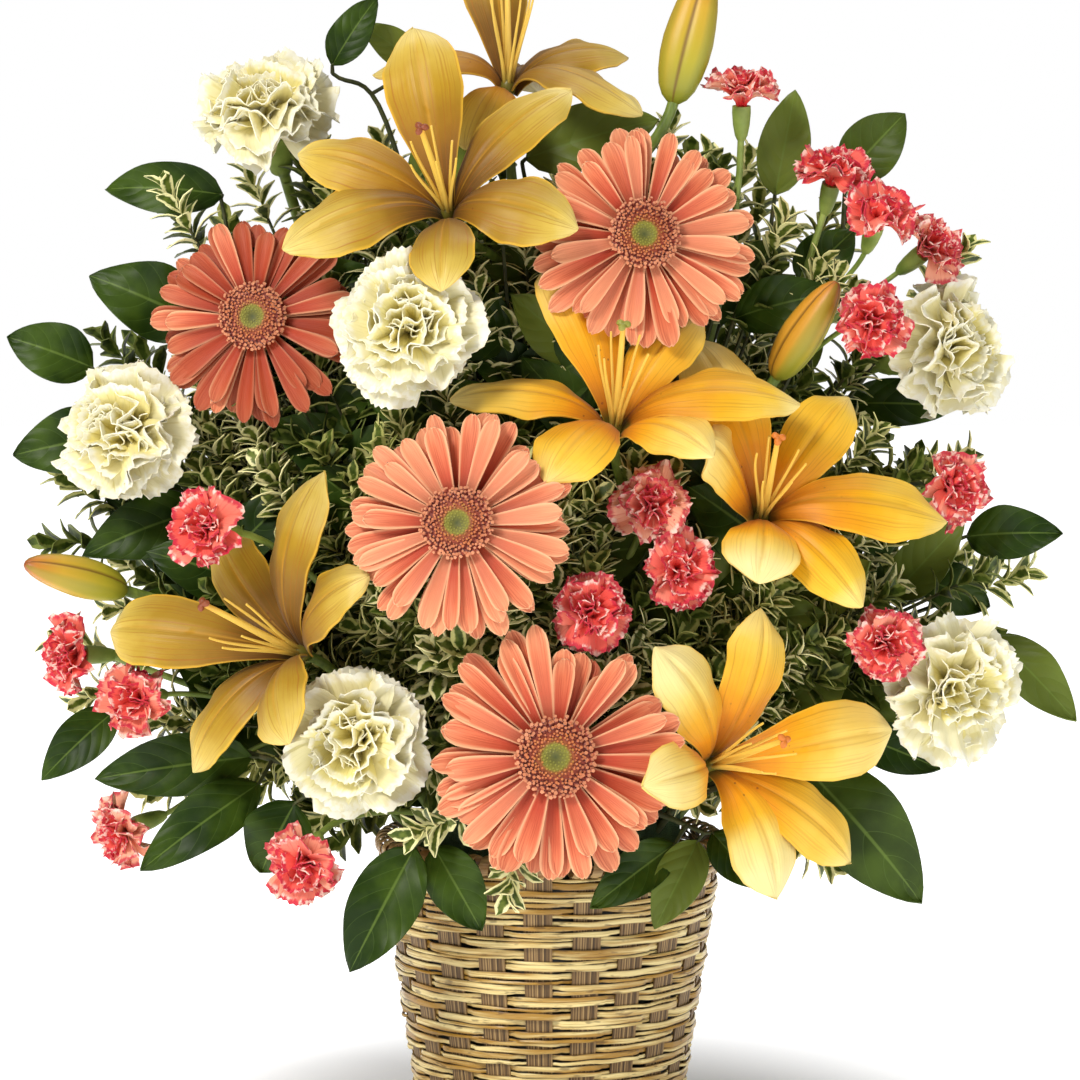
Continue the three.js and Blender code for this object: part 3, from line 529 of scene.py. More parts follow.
salmon, tree, shader = new_finish("salmon_ray", 0.5, Sheen_Weight=0.25, Sheen_Roughness=0.4,
                                  Specular_IOR_Level=0.3)
uv, along, off = sheet_places(tree)
base = gradient(tree, wandering(tree, along, 60.0, 3.0, 0.2), [
    (0.0, 140, 40, 18), (0.28, 194, 72, 44), (0.62, 226, 120, 80), (1.0, 242, 162, 116)])
veins = cloud(tree, (16, 1.6, 1), 2.0, uv)
base = washed(tree, base, colour(176, 58, 32), veins, 0.45, 0.7, 0.6)
rim = maths(tree, "MAXIMUM", between(tree, off, 0.66, 1.0), between(tree, along, 0.93, 1.0))
base = mixed(tree, maths(tree, "MULTIPLY", rim, 0.7), base, colour(254, 202, 152))
# A low tone darkens a ray towards red-brown; the lower whorls' tone is lowered as painted shade under the
# upper rays.
base = washed(tree, base, colour(160, 52, 16), value_of(tree), 0.5, 0.0, 0.75)
base = washed(tree, base, colour(250, 176, 130), value_of(tree), 0.5, 1.0, 0.45)
painted(tree, shader, base)
raised(tree, shader, veins, 0.5, 0.0006)

florets, tree, shader = new_finish("orange_florets", 0.6, Sheen_Weight=0.3)
ripe = value_of(tree, "ripe")
body = gradient(tree, ripe, [(0.0, 64, 70, 14), (0.34, 132, 126, 30), (0.42, 150, 78, 24),
                             (0.56, 154, 62, 28), (0.8, 130, 42, 24), (1.0, 176, 72, 44)])
ends = gradient(tree, ripe, [(0.0, 104, 108, 24), (0.34, 166, 160, 50), (0.46, 226, 140, 60),
                             (0.7, 232, 138, 80), (1.0, 244, 176, 124)])
painted(tree, shader, mixed(tree, between(tree, value_of(tree), 0.45, 1.0), body, ends))

downy_green, tree, shader = new_finish("downy_green", 0.6, Sheen_Weight=0.4, Sheen_Roughness=0.5)
down = cloud(tree, (900, 900, 120), 3.0)
painted(tree, shader, gradient(tree, down, [(0.3, 92, 124, 48), (0.6, 128, 158, 72), (0.8, 168, 186, 104)]))
raised(tree, shader, down, 0.3, 0.0004)

ray_sheet = flat_sheet(6, 10)
FLORET_TALL = 3.4
deselect()
bpy.ops.mesh.primitive_cone_add(vertices=5, radius1=0.5, radius2=0.95, depth=FLORET_TALL,
                                location=(0, 0, FLORET_TALL / 2))
bpy.ops.object.transform_apply(location=True)
floret = bpy.context.object
floret.data.polygons.foreach_set("select", [face.normal.z > 0.9 for face in floret.data.polygons])
bpy.ops.object.mode_set(mode="EDIT")
bpy.ops.mesh.select_mode(type="FACE")
bpy.ops.mesh.inset(thickness=0.35)
bpy.ops.transform.translate(value=(0, 0, -0.9))
bpy.ops.object.mode_set(mode="OBJECT")
floret_heights = np.array([point.co.z / FLORET_TALL for point in floret.data.vertices])


def ray(turn, reach, width, rise, lift, tone):
    """One ray: a narrow foot, a blunt tip with a small notch, two grooves, a little droop and twist."""
    draw = gerbera_draw.uniform
    reach, width, turn = reach * draw(0.86, 1.03), width * draw(0.8, 1.1), turn + draw(-0.1, 0.1)
    rise, droop = math.radians(rise + draw(-2, 2)), draw(0.5, 6)
    twist, cup = draw(-0.24, 0.24), draw(0.0, 1.3)

    def shape(across, along):
        along = 1 - (1 - along) ** 1.5
        round_tip = np.sqrt(1 - (np.clip(along - 0.84, 0, 1) / 0.172) ** 2)
        half = width / 2 * (0.42 + 0.58 * smooth(along / 0.8)) * round_tip
        notch = (1.3 * across ** 2 + 0.9 * np.exp(-(across / 0.2) ** 2)) * along ** 8
        out = 8 + (reach - 8) * along - notch
        side = half * across
        grooves = 0.7 * np.exp(-((np.abs(across) - 0.34) / 0.12) ** 2)
        up = (lift + out * math.tan(rise) - droop * along ** 3 + side * twist
              + cup * np.abs(across) * half * 0.3 - grooves * along)
        return around(side, out, up, turn)

    return shaped(ray_sheet, shape, tone=min(max(tone + draw(-0.28, 0.28), 0), 1))


def disc_of(spin):
    """The disc: a low dome covered in florets on a spiral, closed and green in the eye."""
    radius, eye, foot = DISC["radius"], DISC["eye"], DISC["foot"]

    def dome_of(r):
        return foot + 3.0 * math.sqrt(max(0, 1 - (r / (radius + 2)) ** 2)) - 1.6 * math.exp(-(r / 4) ** 2)

    steps = [i / 8 * (radius - 0.4) for i in range(9)]
    dome = turned([(r, dome_of(r)) for r in steps] + [(radius - 1, foot + 0.2), (0, foot)], 36)
    spread = np.array([math.hypot(*point.co.xy) / radius for point in dome.data.vertices])
    pieces = [valued(dome, tone=0.0, ripe=spread)]
    for index in range(6, DISC["florets"]):
        r = radius * math.sqrt((index + 0.5) / DISC["florets"])
        turn = index * GOLDEN_TURN + spin
        green = r < eye
        grow = 0.5 if green else 0.56 + 0.42 * smooth_step((r - eye) / (radius - eye))
        tall = 0.3 if green else grow * gerbera_draw.uniform(0.7, 1.35)
        wide = grow * (1.0 if green else gerbera_draw.uniform(0.7, 1.1))
        if not green:
            r += gerbera_draw.uniform(-0.5, 0.5)
            turn += gerbera_draw.uniform(-0.04, 0.04)
        lean = 0.1 + 0.5 * (r / radius) ** 2 + gerbera_draw.uniform(-0.3, 0.3)
        ripe_here = r / radius
        if not green:
            ripe_here = min(max(ripe_here + gerbera_draw.uniform(-0.12, 0.12), 0.42), 1)
        piece = placed(floret.data, tone=floret_heights, ripe=ripe_here)
        piece.data.transform(Matrix.Translation((r * math.cos(turn), r * math.sin(turn), dome_of(r) - 0.4))
                             @ Matrix.Rotation(turn, 4, "Z") @ Matrix.Rotation(lean, 4, "Y")
                             @ Matrix.Diagonal((wide, wide, tall, 1)))
        pieces.append(piece)
    return joined("disc", pieces)


for number, bloom in enumerate(GERBERAS, 1):
    axis = facing(bloom["yaw"], bloom["pitch"])
    frame_here = frame_of(bloom["place"], axis, (number - 1) * 0.8, bloom["size"])
    rays = []
    for whorl, (count, reach, width, rise, lift) in enumerate(RAY_WHORLS):
        for i in range(count):
            turn = (i + whorl * 0.37) / count * math.tau
            tip = frame_here @ Vector(around(0, reach, 0, turn)) / MM
            covered = "under" in bloom and math.dist((tip.x, tip.z), bloom["under"]) < UNDER["near"]
            # The lower whorls get a lower tone: painted shade under the upper rays.
            rays.append(ray(turn, reach * UNDER["kept"] if covered else reach, width, rise, lift,
                            bloom["tone"] + whorl * 0.08 - 0.12))
    petals = joined(f"gerbera_{number}_petals", rays)
    petals.data.transform(frame_here)
    handed_in(petals, salmon, "coral", f"gerbera_{number}_rays", wall=GERBERA["wall"])
    disc = disc_of(number)
    disc.name = f"gerbera_{number}_florets"
    disc.data.transform(frame_here)
    handed_in(disc, florets, "disc", f"gerbera_{number}_disc", smooth_to=35)
    neck = Vector(bloom["place"]) - axis * GERBERA["neck"] * bloom["size"]
    stem = tubes("stem", [(stem_route(bloom["root"], neck, axis), GERBERA["stem"], GERBERA["stem"])], 12)
    cup = turned([(0, -3.6), (8, -3.6), (11.6, -4.2), (10.8, -8), (8, -12), (4.4, -16), (3.3, -19),
                  (0, -19)], 20)
    cup.data.transform(frame_here)
    scales = []
    for i in range(GERBERA["scales"]):
        turn, low = i * GOLDEN_TURN, -14 + i * 0.27
        leaf = turned([(0, 1), (0.18, 0.9), (0.5, 0.6), (0.62, 0.3), (0.4, 0), (0, 0)], 6)
        slope = 0.42 + 0.3 * (i / GERBERA["scales"])
        leaf.data.transform(frame_here @ Matrix.Rotation(turn, 4, "Z")
                            @ Matrix.Translation((6.4 + i * 0.13, 0, low)) @ Matrix.Rotation(slope, 4, "Y")
                            @ Matrix.Diagonal((1.0, 2.6, 8.5, 1)))
        scales.append(leaf)
    green = joined(f"gerbera_{number}_green", [stem, cup] + scales)
    handed_in(green, downy_green, "stem", f"gerbera_{number}_stem")
    in_front.append(("disc", Vector(bloom["place"]), axis, GERBERA["room"] * bloom["size"]))
bpy.data.objects.remove(floret)

# ---- Lilies ----
# Six golden lilies. Their six tepals rise from the throat and bend back, the outer three narrower.
# They are ribbed along the middle, waved at the edge, and pale at the tip. The anthers have been
# taken out, which leaves bare filaments round a long style. Stems fork into blooms and closed buds.
LILIES = [
    {"place": (-49, -62, 455), "yaw": -10, "pitch": 38, "tone": 0.06, "stigma": 0.1,
     "tips": [(-17, 20, 89), (59, 20, 59), (62, -32, -7), (-2, -52, -36), (-79, -12, -17), (-73, 15, 28)]},
    {"place": (-21, -5, 516), "yaw": 5, "pitch": 68, "tone": 0.1, "stigma": 0.3,
     "tips": [(-12, 25, 78), (60, 25, 16), (66, -24, -13), (-20, -34, -30), (-67, 12, 7), (16, 70, 0)]},
    {"place": (31, -80, 352), "yaw": 4, "pitch": 52, "tone": 0.55, "stigma": 0.95,
     "tips": [(-30, 30, 80), (40, 30, 54), (88, -4, 12), (45, -44, -10), (-33, -52, -22), (-79, 5, 14)]},
    {"place": (102, -62, 308), "yaw": 10, "pitch": 38, "tone": 0.8, "stigma": 0.5,
     "tips": [(-33, 30, 85), (44, 27, 57), (90, 2, -2), (47, -30, -40), (-4, -48, -27), (-30, -42, 40)]},
    {"place": (-119, -86, 245), "yaw": -48, "pitch": 22, "tone": -0.15, "stigma": 0.1,
     "tips": [(11, 1, 87), (34, -45, 42), (-3, -57, -36), (-53, 4, -58), (-94, 22, 8), (-40, 30, 56)]},
    {"place": (76, -92, 192), "yaw": 36, "pitch": 14, "tone": 0.92, "stigma": 0.5,
     "tips": [(-27, -30, 60), (25, 9, 74), (90, 32, 12), (69, 16, -50), (32, -9, -63), (-34, -71, 0)]},
]
LILY = {"inner": 38, "outer": 32, "wall": 0.9, "pistil": 66, "filament": 52, "neck": 4.8, "bud_room": 11}
TEPAL_WIDTHS = ([0, 0.1, 0.24, 0.38, 0.54, 0.7, 0.82, 0.91, 0.965, 1],
                [0.09, 0.15, 0.27, 0.41, 0.5, 0.49, 0.4, 0.25, 0.13, 0.012])
LILY_STEMS = [
    {"root": (-8, 8, 134), "fork": (-14, 8, 420), "blooms": [0, 1],
     "bud": [(60, -25, 508), (77, -20, 575)], "ripe": 0.3},
    {"root": (24, -16, 134), "fork": (58, -14, 262), "blooms": [2, 3],
     "bud": [(110, -34, 374), (139, -50, 422)], "ripe": 1},
    {"root": (-44, -20, 134), "fork": (-92, -42, 206), "blooms": [4],
     "bud": [(-206, -56, 272), (-252, -84, 288)], "ripe": 0.3},
    {"root": (32, -38, 138), "fork": None, "blooms": [5], "bud": None},
]
lily_draw = random.Random(5)
tepal_sheet = flat_sheet(14, 34)


def tepal(axis, tip, width, lift, tone):
    """A tepal on its spine: it rises along the axis, opens outwards and bends back near its tip."""
    forward = tip.dot(axis)
    out = tip - axis * forward
    reach, length = out.length, tip.length
    out.normalize()
    side = axis.cross(out)
    ends = (axis * lift + out * 3, axis * (0.36 * length + lift) + out * (0.18 * length),
            axis * (forward + 0.2 * reach) + out * (0.74 * reach), tip)
    waves = [lily_draw.uniform(0, math.tau) for _ in range(4)]
    ripple, twist = lily_draw.uniform(0.8, 1.6), lily_draw.uniform(-0.12, 0.12)

    def shape(across, along):
        steps = np.linspace(0, 1, 61)
        line = bezier(*ends, steps=60)
        tangent = np.gradient(line, axis=0)
        tangent /= np.linalg.norm(tangent, axis=1)[:, None]
        inward = np.cross(tangent, np.array(side))
        middle = np.stack([np.interp(along, steps, line[:, k]) for k in range(3)])
        lift_way = np.stack([np.interp(along, steps, inward[:, k]) for k in range(3)])
        half = width * np.interp(along, *TEPAL_WIDTHS)
        edge = np.abs(across)
        cup = -0.3 * half * edge ** 1.7
        rib = -1.1 * np.exp(-(across / 0.1) ** 2) + 0.75 * np.exp(-((edge - 0.24) / 0.13) ** 2)
        wave = ripple * edge ** 3 * (np.sin(13 * along + waves[0] + 2 * (across > 0))
                                     + 0.6 * np.sin(23 * along + waves[1]))
        rise = (cup + rib * smooth(along * 2) * smooth((1 - along) * 5) + wave * smooth(along * 1.6)
                + twist * across * half)
        return middle + np.array(side)[:, None] * half * across + lift_way * rise

    return shaped(tepal_sheet, shape, tone=tone)


golden, tree, shader = new_finish("golden_tepal", 0.45, Sheen_Weight=0.08, Specular_IOR_Level=0.3)
uv, along, off = sheet_places(tree)
here = wandering(tree, along, 30.0, 4.0, 0.5)
creamy = gradient(tree, here, [(0.0, 104, 92, 22), (0.08, 190, 116, 8), (0.28, 238, 156, 4),
                               (0.42, 243, 180, 30), (0.6, 246, 214, 106), (0.85, 248, 230, 156)])
bright_gold = gradient(tree, here, [(0.0, 100, 84, 18), (0.08, 184, 108, 6), (0.3, 226, 142, 4),
                                    (0.55, 240, 176, 20), (0.78, 246, 200, 62), (1.0, 250, 226, 136)])
ochre = gradient(tree, here, [(0.0, 58, 48, 12), (0.08, 98, 62, 8), (0.34, 140, 100, 16),
                              (0.58, 176, 138, 30), (0.82, 210, 180, 78), (1.0, 234, 212, 126)])
base = mixed(tree, between(tree, value_of(tree), 0.0, 0.6), ochre, bright_gold)
base = mixed(tree, between(tree, value_of(tree), 0.6, 1.0), base, creamy)
base = washed(tree, base, colour(242, 190, 52), off, 0.9, 0.99, 0.55)
lines = cloud(tree, (30, 1.2, 1), 3.0, uv)
strength = maths(tree, "MULTIPLY_ADD", value_of(tree), -0.4, 0.65)
base = washed(tree, base, colour(162, 98, 14), lines, 0.5, 0.7, strength)
rib_line = maths(tree, "MULTIPLY", between(tree, off, 0.09, 0.0), between(tree, along, 1.0, 0.5))
base = mixed(tree, maths(tree, "MULTIPLY", rib_line, 0.5), base, colour(206, 150, 40))
specks = node(tree, "TexVoronoi", {0: node(tree, "TexCoord", output=3), 2: 260.0})
speckled = maths(tree, "MULTIPLY", between(tree, specks, 0.2, 0.12), between(tree, along, 0.5, 0.2))
speckled = maths(tree, "MULTIPLY", speckled, between(tree, cloud(tree, 130.0), 0.56, 0.62))
base = mixed(tree, maths(tree, "MULTIPLY", speckled, 0.8), base, colour(120, 60, 20))
painted(tree, shader, base)
raised(tree, shader, lines, 0.3, 0.0008)

pale_style, tree, shader = new_finish("pale_style", 0.4)
painted(tree, shader, gradient(tree, value_of(tree), [
    (0.0, 116, 108, 36), (0.2, 240, 204, 92), (0.8, 244, 200, 84), (1.0, 232, 170, 60)]))
stigma_finish, tree, shader = new_finish("stigma", 0.5)
painted(tree, shader, gradient(tree, value_of(tree), [
    (0.0, 112, 44, 30), (0.5, 214, 120, 34), (1.0, 140, 150, 60)]))

smooth_green, tree, shader = new_finish("smooth_green_stem", 0.45)
mottle = cloud(tree, (300, 300, 40), 4.0)
painted(tree, shader, gradient(tree, mottle, [(0.3, 82, 102, 34), (0.7, 124, 144, 56)]))
raised(tree, shader, mottle, 0.2, 0.0005)

for number, bloom in enumerate(LILIES, 1):
    axis = facing(bloom["yaw"], bloom["pitch"])
    place = Vector(bloom["place"])
    tepals = []
    for i, tip in enumerate(bloom["tips"]):
        wide, lift = (LILY["outer"], -3) if i % 2 else (LILY["inner"], 1)
        tone = min(max(bloom["tone"] + lily_draw.uniform(-0.25, 0.25), 0), 1)
        tepals.append(tepal(axis, Vector(tip), wide, lift, tone))
        in_front.append(("strip", place + Vector(tip) * 0.15, place + Vector(tip) * 0.96, wide * 0.45))
    petals = joined(f"lily_{number}_tepals", tepals)
    petals.data.transform(TO_METRES @ Matrix.Translation(place))
    handed_in(petals, golden, "gold", f"lily_{number}", wall=LILY["wall"])

    frame_here = frame_of(place, axis, 0.2)
    threads = []
    for i in range(6):
        turn = (i + 0.5) / 6 * math.tau + lily_draw.uniform(-0.15, 0.15)
        spread, bow = lily_draw.uniform(10, 15), lily_draw.uniform(0.6, 1)
        ring = Vector((math.cos(turn), math.sin(turn), 0))
        tall = LILY["filament"] * lily_draw.uniform(0.9, 1.02)
        ups = [Vector((0, 0, up)) for up in (3, tall * 0.4, tall * 0.7, tall)]
        route = bezier(ring * 1.8 + ups[0], ring * 4 + ups[1], ring * spread * bow + ups[2],
                       ring * spread + ups[3], 10)
        threads.append((route, 1.0, 0.55))
    lean = Vector((lily_draw.uniform(-3, 3), lily_draw.uniform(2, 5), LILY["pistil"] - 3))
    threads.append((bezier((0, 0, 2), (0, 0, 24), lean * 0.6, lean, 12), 1.9, 1.3))
    inner = tubes(f"lily_{number}_filaments", threads, 8)
    inner.data.transform(Matrix.Scale(1 / MM, 4))
    heights = np.array([point.co.z / LILY["pistil"] for point in inner.data.vertices])
    throat = turned([(0, 6), (2, 5.4), (3.2, 3.4), (4, 0.5), (3.2, -2.5), (0, -4.4)], 12)
    inner = joined(f"lily_{number}_filaments", [valued(inner, tone=heights), valued(throat, tone=0.0)])
    inner.data.transform(frame_here)
    handed_in(inner, pale_style, "gold", f"lily_{number}")
    lobes = []
    for i in range(3):
        lobe = turned([(0, 1), (0.6, 0.8), (1, 0.1), (0.7, -0.7), (0, -1)], 10)
        lobe.data.transform(Matrix.Translation(lean) @ Matrix.Rotation(i * math.tau / 3, 4, "Z")
                            @ Matrix.Translation((1.9, 0, 0.6)) @ Matrix.Rotation(0.5, 4, "Y")
                            @ Matrix.Diagonal((2.2, 1.8, 1.7, 1)))
        lobes.append(valued(lobe, tone=bloom["stigma"]))
    stigma = joined(f"lily_{number}_stigma", lobes)
    stigma.data.transform(frame_here)
    handed_in(stigma, stigma_finish, "gold", f"lily_{number}")

bud_finish, tree, shader = new_finish("green_bud", 0.45)
ribs, side = value_of(tree, "rib"), value_of(tree, "side")
skin = gradient(tree, value_of(tree), [(0.0, 128, 136, 36), (0.3, 176, 164, 40), (0.7, 206, 164, 46),
                                       (0.92, 196, 126, 42), (1.0, 158, 82, 34)])
skin = washed(tree, skin, colour(222, 150, 44), side, 0.6, 0.2, 0.75)
skin = washed(tree, skin, colour(142, 156, 42), side, 0.6, 0.95, 0.6)
skin = washed(tree, skin, colour(112, 76, 24), ribs, 0.24, 0.0, 0.8)
skin = washed(tree, skin, colour(128, 136, 34), ribs, 0.75, 0.98, 0.5)
painted(tree, shader, skin)
raised(tree, shader, cloud(tree, 400.0, 3.0), 0.15, 0.0004)

BUD_PROFILE = [  # radius and height, as parts of the length
    (0, 0), (0.045, 0.012), (0.09, 0.05), (0.13, 0.12), (0.156, 0.22), (0.173, 0.34), (0.176, 0.46),
    (0.165, 0.58), (0.148, 0.7), (0.123, 0.81), (0.092, 0.9), (0.056, 0.965), (0.028, 0.993), (0, 1),
]


def bud(foot, tip, ripe):
    """A closed bud: three broad outer tepals with a rib along each, and a groove between them."""
    foot, tip = Vector(foot), Vector(tip)
    length = (tip - foot).length
    closed = turned([(r * length, z * length) for r, z in reversed(BUD_PROFILE)], 36)
    ribs, rise = [], []
    for point in closed.data.vertices:
        turn, height = math.atan2(point.co.y, point.co.x), point.co.z / length
        groove = abs(math.sin(1.5 * turn))
        swell = 1 + 0.09 * math.cos(3 * turn + math.pi) - 0.08 * math.exp(-(groove / 0.16) ** 2)
        point.co.x, point.co.y = point.co.x * swell, point.co.y * swell
        ribs.append(groove)
        rise.append(height)
    closed.data.transform(frame_of(foot, (tip - foot).normalized(), 0.6))
    sides = [0.6 + ((point.co.x / MM - foot.lerp(tip, height).x) / length * 3 - 0.1) * ripe
             for point, height in zip(closed.data.vertices, rise)]
    return valued(closed, tone=rise, rib=ribs, side=sides)


for number, branch in enumerate(LILY_STEMS, 1):
    runs, necks = [], []
    for index in branch["blooms"]:
        axis = facing(LILIES[index]["yaw"], LILIES[index]["pitch"])
        necks.append((Vector(LILIES[index]["place"]) - axis * LILY["neck"], axis))
    if branch["fork"] is None:
        runs.append((stem_route(branch["root"], *necks[0]), 4, 3))
    else:
        fork, root = Vector(branch["fork"]), Vector(branch["root"])
        up = (fork - root).normalized()
        runs.append((stem_route(root, fork, up), 4, 3.4))
        runs += [(stem_route(fork - up * 3, neck, axis), 2.8, 2.4) for neck, axis in necks]
    if branch["bud"]:
        foot, tip = (Vector(end) for end in branch["bud"])
        axis = (tip - foot).normalized()
        runs.append((stem_route(fork + Vector((0, 0, -6)), foot + axis * 2, axis), 2.6, 2.8))
        closed = bud(foot, tip, branch["ripe"])
        closed.name = f"lily_bud_{number}"
        handed_in(closed, bud_finish, "stem", f"lily_stem_{number}")
        in_front.append(("strip", foot, tip, LILY["bud_room"]))
    stem = tubes(f"lily_stem_{number}_green", runs, 10)
    handed_in(stem, smooth_green, "stem", f"lily_stem_{number}", smooth_to=60)

# ---- Carnations ----
# Six cream carnations. Each head is a ball of fan-shaped petals with waved, toothed rims, flat at
# the outside and upright in the middle, in a smooth green calyx on a jointed stem.
CARNATIONS = [
    {"place": (-138, 6, 494), "yaw": -15, "pitch": 48, "root": (-28, 10, 134)},
    {"place": (-200, -22, 345), "yaw": -32, "pitch": 14, "root": (-48, 0, 134)},
    {"place": (-66, -80, 397), "yaw": -4, "pitch": 18, "root": (-20, -6, 134)},
    {"place": (-88, -92, 207), "yaw": -14, "pitch": -4, "root": (-32, -40, 138)},
    {"place": (188, -36, 225), "yaw": 30, "pitch": -4, "root": (50, -8, 136)},
    {"place": (186, 14, 384), "yaw": 52, "pitch": 14, "root": (40, 8, 134)},
]
CARNATION_WHORLS = [  # petals, reach, width, tilt in degrees, lift
    (6, 48, 38, 98, 0), (6, 47, 40, 83, 1), (6, 44, 38, 67, 1.5), (6, 40, 36, 51, 2),
    (5, 37, 33, 37, 2.5), (5, 34, 30, 23, 2.5), (4, 31, 26, 9, 2.5),
]
CARNATION = {"columns": 22, "ripple": 4.7, "tooth": 0.75, "wall": 0.5, "neck": 24, "room": 40}
carnation_draw = random.Random(11)
carnation_sheet = flat_sheet(CARNATION["columns"], 8)


def ruffled(flat, columns, draw, turn, reach, width, tilt, lift, ripple, tooth, tone):
    """A fan-shaped petal: it bends out to its tilt, waves more towards its rim, and is toothed."""
    tilt = math.radians(tilt + draw.uniform(-13, 13))
    reach, turn = reach * draw.uniform(0.86, 1.04), turn + draw.uniform(-0.3, 0.3)
    phases = [draw.uniform(0, math.tau) for _ in range(5)]
    waves, wrap, roll = draw.uniform(2.6, 4.8), draw.uniform(-0.1, 0.6), draw.uniform(-0.4, 0.4)
    cuts = np.array([draw.uniform(-1, 0.5) for _ in range(columns + 1)])

    def shape(across, along):
        steps = np.linspace(0, 1, 41)
        angle = tilt * smooth(steps * 1.5)
        out = np.interp(along, steps, np.concatenate([[0], np.cumsum(np.sin(angle[1:]))]) * reach / 40)
        up = np.interp(along, steps, np.concatenate([[0], np.cumsum(np.cos(angle[1:]))]) * reach / 40)
        angle = np.interp(along, steps, angle)
        column = (across + 1) / 2 * columns
        teeth = tooth * (0.7 * np.cos(np.pi * column) + cuts[np.rint(column).astype(int)]) * along ** 6
        pull = -(0.16 + 0.05 * math.sin(phases[4])) * reach * across ** 2 * along + teeth
        side = width / 2 * across * (0.14 + 0.86 * smooth(along * 1.08))
        broad, close = waves * across + phases[0] + along, 7.5 * across + phases[1] + 2 * along
        off = ripple * along ** 1.8 * (np.sin(broad) + 0.5 * np.sin(close) * 0.8
                                       + 0.22 * along * np.sin(14 * across + phases[2]))
        off = off + roll * side * along - wrap * side ** 2 / width
        out = out + pull * np.sin(angle) - off * np.cos(angle)
        up = up + pull * np.cos(angle) + off * np.sin(angle)
        return around(side, 1.5 + out, lift + up, turn)

    return shaped(flat, shape, tone=tone)


def carnation_finish(name, foot_colour_and_shade, outer, inner, streak, rims, roughness=0.6):
    """A frilled petal: deep at its foot, partly with painted shade, one colour outside the head and one
    inside, and a fine rim.
    """
    material, tree, shader = new_finish(name, roughness, Sheen_Weight=0.14, Sheen_Roughness=0.5,
                                        Specular_IOR_Level=0.2)
    uv, along, off = sheet_places(tree)
    body = mixed(tree, between(tree, value_of(tree), 0.15, 0.6), outer, inner)
    # the foot of each petal is darker: partly the petal's own colour, partly painted shade deep in the head
    base = mixed(tree, between(tree, wandering(tree, along, 90.0, 3.0, 0.5), 0.1, 0.62), foot_colour_and_shade, body)
    veins = cloud(tree, (26, 1.2, 1), 2.0, uv)
    streaks = maths(tree, "MULTIPLY", between(tree, veins, 0.52, 0.66), between(tree, along, 0.3, 0.9))
    base = mixed(tree, maths(tree, "MULTIPLY", streaks, 0.45), base, streak)
    edge = maths(tree, "ADD", along, maths(tree, "MULTIPLY_ADD", veins, 0.16, -0.08))
    rim = mixed(tree, between(tree, cloud(tree, 260.0, 2.0), 0.48, 0.62), *rims)
    base = washed(tree, base, rim, edge, 0.86, 0.95, 0.85)
    painted(tree, shader, base)
    raised(tree, shader, veins, 0.3, 0.0006)
    return material


# The cream petals' dark yellow foot is partly painted shade among the folds.
cream = carnation_finish("cream_frill", colour(198, 178, 70), colour(240, 233, 190), colour(240, 228, 154),
                         colour(208, 194, 98), (colour(252, 250, 234), colour(242, 236, 204)))
coral_frill = carnation_finish("coral_frill", colour(216, 36, 38), colour(250, 178, 146), colour(242, 96, 84),
                               colour(226, 56, 64), (colour(200, 26, 62), colour(255, 222, 206)), 0.55)

calyx_green, tree, shader = new_finish("calyx_green", 0.5)
bloomy = cloud(tree, 70.0, 4.0)
painted(tree, shader, gradient(tree, bloomy, [(0.3, 104, 128, 48), (0.7, 158, 176, 86)]))
raised(tree, shader, bloomy, 0.2, 0.0005)


def frilled_head(flat, columns, draw, whorls, ripple, tooth, deep=0.0):
    """A whole head. It leans and reaches out more to some sides than to others."""
    petals, lean, lobe = [], draw.uniform(0, math.tau), draw.uniform(0, math.tau)
    for whorl, (count, reach, width, tilt, lift) in enumerate(whorls):
        start = draw.uniform(0, math.tau)
        for i in range(count):
            turn = start + i / count * math.tau
            waved = ripple * draw.uniform(0.7, 1.35) * (1.35 if tilt > 60 else 1)
            petals.append(ruffled(
                flat, columns, draw, turn, reach * (1 + 0.08 * math.sin(3 * turn + lobe)), width,
                tilt + 11 * math.sin(2 * turn + lean), lift, waved, tooth,
                min(deep + (1 - deep) * whorl / (len(whorls) - 1), 1)))
    return joined("head", petals)


for number, bloom in enumerate(CARNATIONS, 1):
    axis = facing(bloom["yaw"], bloom["pitch"])
    frame_here = frame_of(bloom["place"], axis, number * 2.1)
    head = frilled_head(carnation_sheet, CARNATION["columns"], carnation_draw, CARNATION_WHORLS,
                        CARNATION["ripple"], CARNATION["tooth"])
    head.name = f"carnation_{number}_petals"
    head.data.transform(frame_here)
    handed_in(head, cream, "cream", f"carnation_{number}", wall=CARNATION["wall"])
    neck = Vector(bloom["place"]) - axis * CARNATION["neck"]
    stem = tubes("stem", [(stem_route(bloom["root"], neck, axis), 2.8, 2.8)], 10)
    calyx = turned([(0, -0.4), (7.6, -0.4), (8, -3), (7.6, -10), (6.8, -17), (5, -23), (3.4, -26),
                    (0, -26)], 20)
    calyx.data.transform(frame_here)
    scales = []
    for i in range(6):
        scale = turned([(0, 1), (0.3, 0.8), (0.8, 0.4), (1, 0.1), (0.6, 0), (0, 0)], 6)
        scale.data.transform(frame_here @ Matrix.Rotation(i * 1.05, 4, "Z")
                             @ Matrix.Translation((5.2, 0, -25 + i)) @ Matrix.Rotation(0.12, 4, "Y")
                             @ Matrix.Diagonal((0.9, 3, 9, 1)))
        scales.append(scale)
    green = joined(f"carnation_{number}_green", [stem, calyx] + scales)
    handed_in(green, calyx_green, "stem", f"carnation_{number}_stem")
    in_front.append(("disc", Vector(bloom["place"]), axis, CARNATION["room"]))

